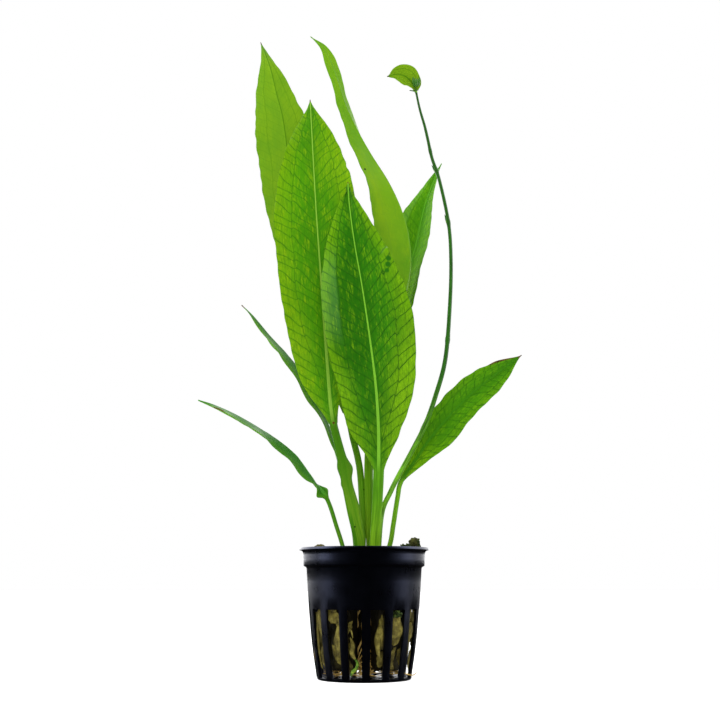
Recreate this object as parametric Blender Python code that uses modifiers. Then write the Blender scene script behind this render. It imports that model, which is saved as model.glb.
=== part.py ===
"""Potted amazon sword plant: slotted net pot, mineral wool, rootstock with roots, leaves and flower stalk.

The model stands on Z = 0 with the pot's axis on Z and its front towards -Y. Lengths are in millimetres until
they reach a mesh, where MM turns them into metres.
"""

import math

import bmesh
import bpy
from mathutils import Vector

MM = 0.001
GAP = 0.35

# Net pot
POT_HEIGHT = 52.8
LIP_RADIUS = 27.05
COLLAR_RADIUS = 25.4
COLLAR_FOOT = 45.6
WALL = 1.1
FLOOR = 1.1
WALL_OUTLINE = [(23.95, 44.8), (22.85, 28.6), (21.5, 14.5), (20.2, 5.5), (19.5, 1.2)]
POT_STEPS = 45
SLOT_COUNT = 15
SLOT_ANGLE = math.radians(15.2)
SLOT_TOP = 28.1
SLOT_FLOOR_INNER = 8.0
SLOT_FLOOR_OUTER = 17.5
FIRST_SLOT = math.radians(-76.2)

# Rootstock and roots
CROWN_TOP = 43.2
CROWN_FOOT = 34.0
CROWN_RADIUS = 7.6
ROOT_COUNT = 6
ROOT_RADIUS = 0.65

# Mineral wool
WOOL_FOOT = 1.8
WOOL_INNER = 8.8
WOOL_FLARE = 0.5

# Leaves
BLADE = 0.8
STEM_RINGS = 9
BLADE_RINGS = 21
SECTION_SIDES = 8
ROUTE_STEPS = 12
TIP_HALF_WIDTH = 0.25

COLOURS = {
    "pot": (0.012, 0.013, 0.018),
    "wool": (0.24, 0.20, 0.06),
    "crown": (0.16, 0.14, 0.05),
    "root": (0.42, 0.33, 0.16),
    "leaf": (0.10, 0.30, 0.02),
    "leaf_dark": (0.05, 0.20, 0.02),
    "leaf_light": (0.20, 0.40, 0.03),
    "stalk": (0.04, 0.17, 0.02),
    "bract": (0.28, 0.42, 0.02),
    "bud": (0.03, 0.11, 0.02),
}

# Each leaf: the stem's and the midrib's points from the crown to the tip, the half widths at even steps
# along the blade, the heading of its right hand side in degrees at even steps along the whole leaf, the
# slopes at which each half folds up from the midrib at even steps along the blade, the waves of its margin
# as (height, count, phase), and the stem's two widths. The level bract gives one fixed direction instead of
# headings, as "side". A "settle" is the share of each half that its fold leaves level with the midrib.
LEAVES = {
    "leaf_tall_left": {
        "stem": [(-0.9, 1.2, 44), (-0.6, 1.4, 54), (-0.5, 2.0, 66), (-0.9, 2.8, 76), (-1.6, 3.6, 85),
                 (-2.8, 4.4, 92), (-4.8, 5.4, 100), (-7.4, 6.6, 111)],
        "blade": [(-18.6, 10, 148.5), (-27, 12, 179), (-32.8, 14, 208), (-35.5, 16, 236), (-37.8, 17, 252),
                  (-41, 18.5, 265), (-44.4, 20, 279), (-49.5, 23, 293.5)],
        "left": [1.7, 6, 9, 10, 11, 11.5, 10.5, 5.8, 0],
        "right": [1.7, 6, 8, 9.4, 11.4, 13.4, 13.8, 8.6, 0],
        "turn": [180, 180, 180, 178, 175],
        "fold": [0.15, 0.15, 0.15],
        "wave": (0.6, 3, 0.2),
        "stem_size": (2.6, 2.2),
        "colour": "leaf_light",
    },
    "leaf_front_left": {
        "stem": [(-1.9, -3.2, 44), (-1.7, -3.7, 54), (-2.9, -4.2, 61), (-4.8, -4.8, 69.7), (-7.2, -5.6, 79.5),
                 (-9.2, -6.5, 89.3), (-12.0, -7.9, 100.1), (-12.9, -8.3, 104)],
        "blade": [(-14.2, -10, 113), (-15.4, -12.5, 128), (-17.3, -15, 152), (-18.8, -16, 172),
                  (-20.6, -15, 196), (-22.2, -12, 221), (-24, -7, 250.4)],
        "left": [1.8, 11.4, 15.3, 17.3, 18.3, 18, 14.8, 8.5, 0],
        "right": [1.8, 6.5, 10, 13.5, 16, 17, 15, 9, 0],
        "turn": [0, 2, 4, 4, 2],
        "fold": [0.2, 0.16, 0.12],
        "wave": (0.9, 4, 0.0),
        "stem_size": (4.4, 2.2),
        "colour": "leaf",
    },
    "leaf_front_centre": {
        "stem": [(3.8, -3.4, 44), (4.5, -4.2, 54), (5.5, -6, 72.5), (6, -8.5, 84.5)],
        "blade": [(6, -12, 100.5), (4.9, -17, 118), (2.4, -20.3, 138), (-0.9, -22.0, 160.4),
                  (-4, -21.8, 178.7), (-6.2, -20.4, 196.2), (-6.9, -18.4, 207.3)],
        "left": [2.2, 11.4, 15, 17.2, 17.8, 17, 12.8, 7, 0],
        "right": [2.2, 8.7, 14.9, 18.2, 18.9, 16.9, 12.4, 6, 0],
        "turn": [0, 0, 0, -3, -4],
        "fold": [0.25, 0.18, 0.15],
        "wave": (0.7, 5, 0.4),
        "stem_size": (4.7, 2.3),
        "colour": "leaf_dark",
    },
    "leaf_tall_twisted": {
        "stem": [(2.5, 0.4, 44), (2.7, 0.9, 54), (2.5, 1.8, 66), (2.2, 2.4, 77), (2.0, 3.2, 88),
                 (2.5, 4.2, 99), (4.4, 5.4, 110)],
        "blade": [(12.6, 8, 142), (17.2, 9, 162), (20.3, 9.5, 178), (19.6, 9, 192), (16.4, 8, 204),
                  (10.8, 7, 216.5), (3.2, 6, 229), (-2.6, 5, 239.6), (-8.1, 4, 251.5), (-11.7, 3, 262.6),
                  (-15.1, 1.6, 272.3), (-18.7, 0.8, 279.2), (-24.6, 0, 284.5)],
        "left": [1.6, 4, 7, 9, 10.2, 10.6, 10.5, 9, 7.4, 5.2, 3.1, 3.0, 0],
        "right": [1.6, 4, 7, 9, 10.3, 10.8, 11.0, 10.2, 8.4, 5.4, 3.1, 3.0, 0],
        "turn": [180, 190, 212, 225, 225, 230, 240, 216, 183],
        "fold": [0.25, 0.45, 0.75, 0.85, 0.85, 0.55, 0.38, 0.08, 0.0],
        "wave": (0.3, 3, 0.5),
        "stem_size": (3.1, 2.2),
        "colour": "leaf_light",
    },
    "leaf_back_right": {
        "stem": [(3.4, 4.6, 44), (4.2, 5, 54), (5.6, 8, 73), (7, 13.5, 95), (9, 20, 118)],
        "blade": [(13.6, 25.5, 147.2), (18, 29.5, 171.8), (24.5, 32.5, 194), (29.1, 34.2, 214),
                  (32.9, 34.8, 225), (37.6, 35.3, 236.6)],
        "left": [1.4, 6, 10, 12, 12.5, 12, 9.5, 4.5, 0],
        "right": [1.4, 5, 8, 9.5, 10, 9.5, 7, 3.5, 0],
        "turn": [0, -10, -25, -32, -35],
        "fold": [0.5, 0.5, 0.4],
        "wave": (0.5, 3, 0.1),
        "stem_size": (3.0, 2.0),
        "colour": "leaf_dark",
    },
    "leaf_low_right": {
        "stem": [(6.1, 1.6, 44), (10.7, 1.6, 54), (12.3, 2.2, 62.5), (14.2, 3.2, 74), (15.8, 4, 81)],
        "blade": [(21.9, 6, 90), (29.1, 8, 100.5), (39.8, 10, 112.8), (49.8, 11, 122.3), (60.1, 11, 130.3),
                  (69.7, 10, 137.3)],
        "left": [0.9, 2.5, 4.8, 6.6, 7.4, 7.5, 6.5, 4.3, 0],
        "right": [0.9, 3.5, 7, 8.8, 8.2, 7.5, 7, 4.2, 0],
        "turn": [0, 0, 0, 0, 0],
        "fold": [0.15, 0.12, 0.1],
        "wave": (0.7, 3, 0.3),
        "stem_size": (2.0, 1.7),
        "colour": "leaf",
    },
    "leaf_low_left": {
        "stem": [(-5.7, -1.7, 44), (-9.0, -2, 54), (-11.4, -2.5, 61.5), (-14.0, -3.1, 69.6), (-16, -3.6, 74)],
        "blade": [(-18.4, -4.3, 77), (-21.0, -5, 79.8), (-24.6, -5.6, 83.6), (-30, -6.5, 90),
                  (-37.4, -7.5, 96.4), (-45.8, -8.5, 102), (-55, -9.5, 107.4), (-63.8, -10, 111.6),
                  (-69.7, -10, 114)],
        "left": [0.9, 3.2, 5, 6, 6.2, 5.6, 4.6, 2.8, 0],
        "right": [0.9, 3.2, 5, 6, 6.2, 5.6, 4.6, 2.8, 0],
        "turn": [60, 76, 83, 85, 85],
        "fold": [0.2, -0.6, -0.6, -0.42, -0.38, -0.35, -0.3],
        "settle": 0.45,
        "wave": (0.25, 4, 0.0),
        "stem_size": (1.9, 1.7),
        "colour": "leaf_dark",
    },
    "leaf_mid_left": {
        "stem": [(-4.0, 3.4, 44), (-3.6, 3.6, 54), (-5.2, 4.2, 65), (-7.8, 5, 77.5), (-10, 6.2, 88)],
        "blade": [(-13.6, 8, 99.6), (-18.8, 10, 111.4), (-24.2, 12, 120.4), (-28.9, 13, 129.4),
                  (-35.7, 14.5, 138.2), (-42.7, 16, 146.4), (-50.8, 17, 157), (-55.3, 17.5, 162)],
        "left": [0.9, 2.6, 4.2, 5.2, 5.4, 4.8, 3.8, 2.2, 0],
        "right": [0.9, 2.6, 4.2, 5.2, 5.4, 4.8, 3.8, 2.2, 0],
        "turn": [40, 62, 76, 80, 80],
        "fold": [-0.2, -0.5, -0.55, -0.5],
        "settle": 0.45,
        "wave": (0.5, 4, 0.3),
        "stem_size": (2.2, 1.8),
        "colour": "leaf_dark",
    },
    "bract": {
        "stem": [(24.0, -0.1, 255.4), (23.8, -0.3, 256.3), (23.5, -0.5, 257.3)],
        "blade": [(22.9, -0.9, 259.0), (21.4, -1.2, 261.6), (18.3, -1.6, 264.1), (14.6, -1.8, 264.7),
                  (12.0, -1.8, 264.1), (10.5, -1.8, 263.9)],
        "left": [1.2, 2.4, 3.5, 4.4, 4.6, 4.0, 2.9, 1.3, 0],
        "right": [1.8, 3.2, 4.1, 4.8, 5.1, 4.6, 3.5, 1.6, 0],
        "side": (0, 0, 1),
        "fold": [0.5, 0.4, 0.3, 0.2],
        "wave": (0.2, 2, 0.0),
        "stem_size": (1.1, 0.9),
        "colour": "bract",
    },
}

# The flower stalk's centre line, its end radii, and its nodes as (share of the length, extra radius).
STALK_ROUTE = [(6.0, -0.8, 44), (6.2, -0.8, 54), (7.6, -0.8, 68), (11, -1, 76), (14.4, -1.4, 82.7),
               (21, -2, 94.7), (26, -2.6, 104.6), (30.4, -2.8, 116.6), (34.9, -2.6, 132.8),
               (37.2, -2.4, 155.8),
               (38.1, -2.2, 176.4), (37.3, -2, 194.3), (33.6, -2, 214), (30.4, -2, 224.6), (28.6, -2, 233.6),
               (27.3, -2, 239.8), (25.3, -2, 247.5), (24.0, -2, 254.2), (23.6, -1.8, 257.6)]
STALK_FOOT_RADIUS = 1.0
STALK_TOP_RADIUS = 0.5
STALK_NODES = [(0.47, 0.45), (0.70, 0.4), (0.80, 0.45)]
STALK_POINTS = 44

# Each bud: its centre, its half length and its tilt from upright, in degrees about Y.
BUDS = [((22.6, -3.6, 260.3), 2.3, -10), ((24.7, -3.8, 260.2), 2.3, 12), ((23.6, -5.3, 259.4), 2.0, 0)]
BUD_ROUNDNESS = 0.36

# Each wad of wool: its first and last heading in degrees, its top's height, and the lump on the top
# as (heading in degrees, distance from the axis, height).
WADS = {
    "wool_left": (127, 252, 49.5, (190, 18.5, 5.2)),
    "wool_right": (-72, 53, 49.0, (-10, 20.5, 8.6)),
    "wool_back": (60, 120, 48.5, (90, 17.0, 3.0)),
}
LUMP_SPREAD = 5.0


def clear_scene():
    for obj in list(bpy.data.objects):
        bpy.data.objects.remove(obj, do_unlink=True)


def add_collection(name, hidden=False):
    collection = bpy.data.collections.new(name)
    collection.hide_render = hidden
    bpy.context.scene.collection.children.link(collection)
    return collection


def add_material(name, colour, roughness):
    material = bpy.data.materials.new(name)
    material.use_nodes = True
    shader = material.node_tree.nodes["Principled BSDF"]
    shader.inputs["Base Color"].default_value = (*colour, 1.0)
    shader.inputs["Roughness"].default_value = roughness
    shader.inputs["Metallic"].default_value = 0.0
    material.diffuse_color = (*colour, 1.0)
    return material


def add_object(name, mesh, collection, material=None):
    obj = bpy.data.objects.new(name, mesh)
    collection.objects.link(obj)
    if material:
        obj.data.materials.append(material)
    return obj


def mesh_from(bm, name):
    """Turn a bmesh in millimetres into a smooth mesh in metres."""
    bmesh.ops.scale(bm, vec=(MM, MM, MM), verts=bm.verts)
    mesh = bpy.data.meshes.new(name)
    bm.to_mesh(mesh)
    bm.free()
    mesh.shade_smooth()
    mesh.set_sharp_from_angle(angle=math.radians(35))
    return mesh


def ease(share):
    share = min(max(share, 0.0), 1.0)
    return share * share * (3 - 2 * share)


def cubic(before, start, end, after, share):
    """A smooth curve from start to end, which knows its neighbours on both sides."""
    slope_in = (end - before) * 0.5
    slope_out = (after - start) * 0.5
    bend = (start - end) * 2 + slope_in + slope_out
    lean = (end - start) * 3 - slope_in * 2 - slope_out
    return start + slope_in * share + lean * share**2 + bend * share**3


def value_along(values, share):
    """The value at a share of the way along a list of evenly spaced values."""
    place = min(max(share, 0.0), 1.0) * (len(values) - 1)
    index = min(int(place), len(values) - 2)
    before = values[max(index - 1, 0)]
    after = values[min(index + 2, len(values) - 1)]
    return cubic(before, values[index], values[index + 1], after, place - index)


def fine_route(points):
    """Points of a smooth curve through the given points, with its length so far at each."""
    knots = [Vector(point) for point in points]
    route = [knots[0]]
    for index in range(len(knots) - 1):
        before = knots[max(index - 1, 0)]
        after = knots[min(index + 2, len(knots) - 1)]
        for step in range(1, ROUTE_STEPS + 1):
            route.append(cubic(before, knots[index], knots[index + 1], after, step / ROUTE_STEPS))
    lengths = [0.0]
    for first, second in zip(route, route[1:]):
        lengths.append(lengths[-1] + (second - first).length)
    return route, lengths


def point_at(route, lengths, length):
    """The place and the direction of the route at a length along it."""
    index = 1
    while index < len(lengths) - 1 and lengths[index] < length:
        index += 1
    share = (length - lengths[index - 1]) / (lengths[index] - lengths[index - 1])
    place = route[index - 1].lerp(route[index], share)
    ahead = route[min(index + 1, len(route) - 1)]
    behind = route[max(index - 2, 0)]
    return place, (ahead - behind).normalized()


def leaf_stations(leaf):
    """The lengths of a leaf's rings, dense enough on both its stem and its blade, and the stem's length."""
    route, lengths = fine_route(leaf["stem"] + leaf["blade"])
    stem_length = lengths[(len(leaf["stem"]) - 1) * ROUTE_STEPS]
    blade_length = lengths[-1] - stem_length
    stations = [stem_length * step / STEM_RINGS for step in range(STEM_RINGS)]
    stations += [stem_length + blade_length * step / BLADE_RINGS for step in range(BLADE_RINGS + 1)]
    return route, lengths, stations, stem_length


def right_hand(leaf, whole_share):
    """The direction that a leaf's right hand side heads in, before it is squared to the midrib."""
    if "side" in leaf:
        return Vector(leaf["side"])
    turn = math.radians(value_along(leaf["turn"], whole_share))
    return Vector((math.cos(turn), math.sin(turn), 0.0))


def leaf_point(leaf, blade_share, whole_share, angle, place, along):
    """A point of the leaf's skin, at an angle round its section."""
    heading = right_hand(leaf, whole_share)
    side = (heading - along * heading.dot(along)).normalized()
    face = side.cross(along)
    across = math.cos(angle)
    half_stem, half_depth = leaf["stem_size"][0] / 2, leaf["stem_size"][1] / 2
    spread = ease(blade_share * 8)
    widths = leaf["right"] if across > 0 else leaf["left"]
    half_width = max(value_along(widths, blade_share), TIP_HALF_WIDTH) if blade_share > 0 else half_stem
    rib = half_depth + (BLADE / 2 - half_depth) * ease(blade_share * 1.4)
    is_rib = abs(across) < 0.1
    half_blade = rib if is_rib else BLADE / 2
    half_round = half_depth * abs(math.sin(angle))
    thickness = half_round + (half_blade - half_round) * spread if abs(across) < 0.99 else 0.0
    height, cycles, phase = leaf["wave"]
    sway = math.sin(2 * math.pi * (cycles * blade_share + phase + (0.4 if across > 0 else 0.0)))
    fade = min(1.0, half_width / 6)
    fold = value_along(leaf["fold"], blade_share) * (abs(across) - leaf.get("settle", 0.0)) * half_width
    lift = (fold + height * sway * across**2 * fade) * spread
    outward = math.copysign(thickness, math.sin(angle))
    return place + side * across * half_width + face * (lift + outward)


def make_leaf(name, leaf, collection, material):
    """A round bar with a ring at each station, bent along the midrib and flattened into the blade."""
    route, lengths, stations, stem_length = leaf_stations(leaf)
    rings = len(stations) - 1
    bm = bmesh.new()
    bmesh.ops.create_cone(bm, cap_ends=True, segments=SECTION_SIDES, radius1=1, radius2=1, depth=1)
    upright = [edge for edge in bm.edges if abs(edge.verts[0].co.z - edge.verts[1].co.z) > 0.5]
    bmesh.ops.subdivide_edges(bm, edges=upright, cuts=rings - 1)
    for vert in bm.verts:
        length = stations[round((vert.co.z + 0.5) * rings)]
        angle = math.atan2(vert.co.y, vert.co.x)
        place, along = point_at(route, lengths, length)
        blade_share = (length - stem_length) / (lengths[-1] - stem_length)
        vert.co = leaf_point(leaf, blade_share, length / lengths[-1], angle, place, along)
    bmesh.ops.reverse_faces(bm, faces=bm.faces)
    return add_object(name, mesh_from(bm, name), collection, material)


def wall_radius(height):
    """The outer radius of the pot's wall, which bulges a little between its collar and its foot."""
    for (upper, top), (lower, foot) in zip(WALL_OUTLINE, WALL_OUTLINE[1:]):
        if height >= foot:
            return lower + (upper - lower) * (height - foot) / (top - foot)
    return WALL_OUTLINE[-1][0]


def pot_profile():
    """Half section of the pot: down its outside from the lip, under the floor, and back up the inside."""
    foot_radius = WALL_OUTLINE[-1][0]
    inside = [(radius - WALL, height) for radius, height in reversed(WALL_OUTLINE[1:-1])]
    return [
        (LIP_RADIUS, POT_HEIGHT),
        (LIP_RADIUS, POT_HEIGHT - 0.8),
        (COLLAR_RADIUS + 0.4, POT_HEIGHT - 1.3),
        (COLLAR_RADIUS, POT_HEIGHT - 2.2),
        (COLLAR_RADIUS - 0.2, COLLAR_FOOT),
        *WALL_OUTLINE,
        (foot_radius - 0.3, 0.4),
        (foot_radius - 1.0, 0.0),
        (0.0, 0.0),
        (0.0, FLOOR),
        (foot_radius - WALL - 0.6, FLOOR),
        (foot_radius - WALL + 0.1, FLOOR + 0.7),
        *inside,
        (WALL_OUTLINE[0][0] - WALL, COLLAR_FOOT),
        (COLLAR_RADIUS - 0.2 - WALL, COLLAR_FOOT + 1.0),
        (COLLAR_RADIUS - WALL, POT_HEIGHT - 1.2),
        (COLLAR_RADIUS + 0.1, POT_HEIGHT),
    ]


def make_pot(collection, cutters, material):
    """The turned pot with its slots cut through the wall and on under the floor."""
    points = pot_profile()
    mesh = bpy.data.meshes.new("net_pot")
    count = len(points)
    edges = [(index, (index + 1) % count) for index in range(count) if points[index] != (0.0, 0.0)]
    mesh.from_pydata([(radius * MM, 0.0, height * MM) for radius, height in points], edges, [])
    pot = add_object("net_pot", mesh, collection, material)
    screw = pot.modifiers.new("turn", "SCREW")
    screw.axis = "Z"
    screw.steps = POT_STEPS
    screw.render_steps = POT_STEPS
    screw.use_merge_vertices = True
    screw.merge_threshold = 0.00001
    cut = pot.modifiers.new("slots", "BOOLEAN")
    cut.operation = "DIFFERENCE"
    cut.solver = "EXACT"
    cut.object = make_slot_cutter(cutters)
    return pot


def make_slot_cutter(cutters):
    """One stepped sector for each slot: the wide part opens the wall, the foot opens the floor."""
    outline = [
        (SLOT_FLOOR_INNER, -1.0),
        (SLOT_FLOOR_OUTER, -1.0),
        (SLOT_FLOOR_OUTER, FLOOR - 0.1),
        (LIP_RADIUS, FLOOR - 0.1),
        (LIP_RADIUS, SLOT_TOP),
        (SLOT_FLOOR_INNER, SLOT_TOP),
    ]
    bm = bmesh.new()
    for index in range(SLOT_COUNT):
        start = FIRST_SLOT + math.tau * index / SLOT_COUNT - SLOT_ANGLE / 2
        turned = [(r * math.cos(start), r * math.sin(start), z) for r, z in outline]
        face = bm.faces.new([bm.verts.new(point) for point in turned])
        geometry = [face, *face.edges, *face.verts]
        bmesh.ops.spin(bm, geom=geometry, cent=(0, 0, 0), axis=(0, 0, 1), angle=SLOT_ANGLE, steps=2)
    bmesh.ops.recalc_face_normals(bm, faces=bm.faces)
    cutter = add_object("slot_cutter", mesh_from(bm, "slot_cutter"), cutters)
    cutter.hide_render = True
    cutter.display_type = "WIRE"
    return cutter


def make_wad(name, wad, collection, material):
    """A torn wad of wool: a block bent round the pot's wall, flared at its top, with a lump on it."""
    first, last, top, (lump_heading, lump_distance, lump_height) = wad
    bm = bmesh.new()
    bmesh.ops.create_cube(bm, size=1)
    bmesh.ops.subdivide_edges(bm, edges=bm.edges, cuts=3, use_grid_fill=True)
    lump_turn = math.radians(lump_heading)
    lump = Vector((math.cos(lump_turn), math.sin(lump_turn))) * lump_distance
    for vert in bm.verts:
        around, through, up = vert.co.x + 0.5, vert.co.y + 0.5, vert.co.z + 0.5
        height = WOOL_FOOT + (top - WOOL_FOOT) * up
        outer = wall_radius(height) - WALL - 0.6 - 0.9 * (math.sin(7 * up + 5 * around) ** 2)
        inner = WOOL_INNER + WOOL_FLARE * max(height - CROWN_TOP, 0.0)
        heading = math.radians(first + (last - first) * around)
        distance = inner + (outer - inner) * through
        place = Vector((math.cos(heading), math.sin(heading))) * distance
        if up == 1.0:
            height += lump_height * math.exp(-(((place - lump).length / LUMP_SPREAD) ** 2))
        vert.co = (place.x, place.y, height)
    bmesh.ops.reverse_faces(bm, faces=bm.faces)
    return add_object(name, mesh_from(bm, name), collection, material)


def make_crown(collection, material):
    """The short rootstock: a knobbly round lump, flat on top where the leaves stand."""
    bm = bmesh.new()
    depth = CROWN_TOP - CROWN_FOOT
    bmesh.ops.create_cone(bm, cap_ends=True, segments=16, radius1=4.2, radius2=CROWN_RADIUS, depth=depth)
    upright = [edge for edge in bm.edges if abs(edge.verts[0].co.z - edge.verts[1].co.z) > 0.5]
    bmesh.ops.subdivide_edges(bm, edges=upright, cuts=2)
    for vert in bm.verts:
        ripple = 1 + 0.04 * math.sin(3 * math.atan2(vert.co.y, vert.co.x) + vert.co.z)
        is_middle = abs(vert.co.z) < depth * 0.4
        swell = 1.06 if is_middle else 0.97
        vert.co.x *= ripple * swell
        vert.co.y *= ripple * swell
        vert.co.z += CROWN_FOOT + depth / 2
    return add_object("crown", mesh_from(bm, "crown"), collection, material)


def add_tube(name, places, radii, collection, material, sides=2):
    """A round strand through the places, with its radius at each, closed at both ends."""
    curve = bpy.data.curves.new(name, "CURVE")
    curve.dimensions = "3D"
    curve.bevel_depth = MM
    curve.bevel_resolution = sides
    curve.use_fill_caps = True
    spline = curve.splines.new("POLY")
    spline.points.add(len(places) - 1)
    for point, place, radius in zip(spline.points, places, radii):
        point.co = (*(place * MM), 1.0)
        point.radius = radius
    return add_object(name, curve, collection, material)


def make_root(index, collection, material):
    """A root that wanders down from the crown through the hollow between the wads."""
    heading = math.tau * (index + 0.5) / ROOT_COUNT
    places = []
    for step in range(9):
        share = step / 8
        distance = 2.1 + 4.0 * ease(share)
        sway = 0.16 * math.sin(5 * share + 2.1 * index)
        height = CROWN_FOOT - GAP - 0.2 - (28 + index % 3) * share
        turned = heading + sway
        places.append(Vector((math.cos(turned) * distance, math.sin(turned) * distance, height)))
    radii = [ROOT_RADIUS * (1 - 0.45 * step / 8) for step in range(9)]
    return add_tube(f"root_{index + 1}", places, radii, collection, material, sides=1)


def make_stalk(collection, material):
    """The flower stalk, thinner towards its top, with a swelling at each node."""
    route, lengths = fine_route(STALK_ROUTE)
    places, radii = [], []
    for step in range(STALK_POINTS):
        share = step / (STALK_POINTS - 1)
        places.append(point_at(route, lengths, lengths[-1] * share)[0])
        radius = STALK_FOOT_RADIUS + (STALK_TOP_RADIUS - STALK_FOOT_RADIUS) * share
        radius += sum(extra * math.exp(-(((share - at) / 0.012) ** 2)) for at, extra in STALK_NODES)
        radii.append(radius)
    return add_tube("flower_stalk", places, radii, collection, material, sides=1)


def make_bud(index, bud, collection, material):
    """A closed bud, round at its foot and drawn to a point."""
    centre, half_length, tilt = bud
    bm = bmesh.new()
    bmesh.ops.create_uvsphere(bm, u_segments=10, v_segments=7, radius=half_length)
    for vert in bm.verts:
        slim = BUD_ROUNDNESS * (1 - 0.35 * max(vert.co.z / half_length, 0.0))
        vert.co.x *= slim
        vert.co.y *= slim
    turn = math.radians(tilt)
    for vert in bm.verts:
        x = vert.co.x * math.cos(turn) + vert.co.z * math.sin(turn)
        z = vert.co.z * math.cos(turn) - vert.co.x * math.sin(turn)
        vert.co = Vector((x, vert.co.y, z)) + Vector(centre)
    name = f"bud_{index + 1}"
    return add_object(name, mesh_from(bm, name), collection, material)


def main():
    clear_scene()
    plant = add_collection("potted_amazon_sword")
    cutters = add_collection("cutters", hidden=True)
    finishes = {name: add_material(name, colour, 0.45) for name, colour in COLOURS.items()}
    make_pot(plant, cutters, finishes["pot"])
    for name, wad in WADS.items():
        make_wad(name, wad, plant, finishes["wool"])
    make_crown(plant, finishes["crown"])
    for index in range(ROOT_COUNT):
        make_root(index, plant, finishes["root"])
    for name, leaf in LEAVES.items():
        make_leaf(name, leaf, plant, finishes[leaf["colour"]])
    make_stalk(plant, finishes["stalk"])
    for index, bud in enumerate(BUDS):
        make_bud(index, bud, plant, finishes["bud"])


main()
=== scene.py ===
import math

import bpy
import numpy as np
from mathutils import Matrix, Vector, noise


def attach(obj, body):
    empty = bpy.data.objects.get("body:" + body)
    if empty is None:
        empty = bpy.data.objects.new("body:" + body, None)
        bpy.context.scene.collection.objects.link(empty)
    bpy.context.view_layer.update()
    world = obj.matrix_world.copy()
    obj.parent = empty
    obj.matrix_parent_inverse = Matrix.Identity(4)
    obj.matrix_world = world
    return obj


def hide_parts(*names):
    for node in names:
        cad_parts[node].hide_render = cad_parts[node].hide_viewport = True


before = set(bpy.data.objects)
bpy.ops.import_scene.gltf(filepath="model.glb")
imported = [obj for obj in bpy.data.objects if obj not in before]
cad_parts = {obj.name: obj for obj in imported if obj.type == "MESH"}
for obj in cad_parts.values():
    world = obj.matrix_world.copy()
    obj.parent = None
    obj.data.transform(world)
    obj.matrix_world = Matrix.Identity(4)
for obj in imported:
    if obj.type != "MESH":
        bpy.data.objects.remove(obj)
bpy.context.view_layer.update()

mm = 0.001
spanSteps = 24      # steps of a smooth route between two of its points


def linear(hexCode):
    # sRGB hex to the linear colour that the shaders work in
    parts = [int(hexCode[i:i + 2], 16) / 255 for i in (1, 3, 5)]
    return tuple(p / 12.92 if p <= 0.04045 else ((p + 0.055) / 1.055) ** 2.4 for p in parts) + (1.0,)


def addNode(tree, kind, inputs=None, **settings):
    # one node with its settings; an input takes a value or another node's socket
    node = tree.nodes.new("ShaderNode" + kind)
    for name, value in settings.items():
        setattr(node, name, value)
    for name, value in (inputs or {}).items():
        if isinstance(value, bpy.types.NodeSocket):
            tree.links.new(value, node.inputs[name])
        else:
            node.inputs[name].default_value = value
    return node


def newMaterial(name):
    material = bpy.data.materials.new(name)
    material.use_nodes = True
    tree = material.node_tree
    tree.nodes.clear()
    return material, tree


def setSurface(tree, shader):
    output = tree.nodes.new("ShaderNodeOutputMaterial")
    tree.links.new(shader, output.inputs["Surface"])


def selectOnly(piece):
    bpy.ops.object.select_all(action="DESELECT")
    bpy.context.view_layer.objects.active = piece
    piece.select_set(True)


def addShape(name, operator, **settings):
    # a new primitive, the only thing selected
    bpy.ops.object.select_all(action="DESELECT")
    operator(**settings)
    piece = bpy.context.object
    piece.name = piece.data.name = name
    return piece


def places(piece):
    points = np.empty(len(piece.data.vertices) * 3)
    piece.data.vertices.foreach_get("co", points)
    return points.reshape(-1, 3)


def setPlaces(piece, points):
    piece.data.vertices.foreach_set("co", np.asarray(points, np.float32).ravel())
    piece.data.update()


def closeUp(piece, reach=0.00001):
    # merge what meets, face everything outwards and shade it smooth
    selectOnly(piece)
    bpy.ops.object.mode_set(mode="EDIT")
    bpy.ops.mesh.select_all(action="SELECT")
    bpy.ops.mesh.remove_doubles(threshold=reach)
    bpy.ops.mesh.normals_make_consistent(inside=False)
    bpy.ops.object.mode_set(mode="OBJECT")
    bpy.ops.object.shade_smooth()


def applyModifier(piece, kind, **settings):
    selectOnly(piece)
    bpy.ops.object.modifier_add(type=kind)
    modifier = piece.modifiers[-1]
    for name, value in settings.items():
        setattr(modifier, name, value)
    bpy.ops.object.modifier_apply(modifier=modifier.name)


def joinInto(piece, others):
    selectOnly(piece)
    for other in others:
        other.select_set(True)
    bpy.ops.object.join()


def finishPiece(piece, nodes, material=None):
    if material:
        piece.data.materials.clear()
        piece.data.materials.append(material)
    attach(piece, "root")
    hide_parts(*nodes)


def ease(share):
    share = np.clip(share, 0.0, 1.0)
    return share * share * (3 - 2 * share)


def cubic(before, start, end, after, share):
    slopeIn = (end - before) * 0.5
    slopeOut = (after - start) * 0.5
    bend = (start - end) * 2 + slopeIn + slopeOut
    lean = (end - start) * 3 - slopeIn * 2 - slopeOut
    return start + slopeIn * share + lean * share**2 + bend * share**3


def valuesAlong(values, share):
    # a smooth curve through evenly spaced values, read at any shares
    values = np.asarray(values, float)
    place = np.clip(share, 0.0, 1.0) * (len(values) - 1)
    index = np.minimum(place.astype(int), len(values) - 2)
    before = values[np.maximum(index - 1, 0)]
    after = values[np.minimum(index + 2, len(values) - 1)]
    return cubic(before, values[index], values[index + 1], after, place - index)


def smoothRoute(points):
    # dense points of the smooth curve through a few, and the length so far at each
    knots = np.asarray(points, float)
    route = [knots[:1]]
    steps = (np.arange(1, spanSteps + 1) / spanSteps)[:, None]
    for i in range(len(knots) - 1):
        before, after = knots[max(i - 1, 0)], knots[min(i + 2, len(knots) - 1)]
        route.append(cubic(before, knots[i], knots[i + 1], after, steps))
    route = np.concatenate(route)
    lengths = np.concatenate([[0], np.cumsum(np.linalg.norm(np.diff(route, axis=0), axis=1))])
    return route, lengths


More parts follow.
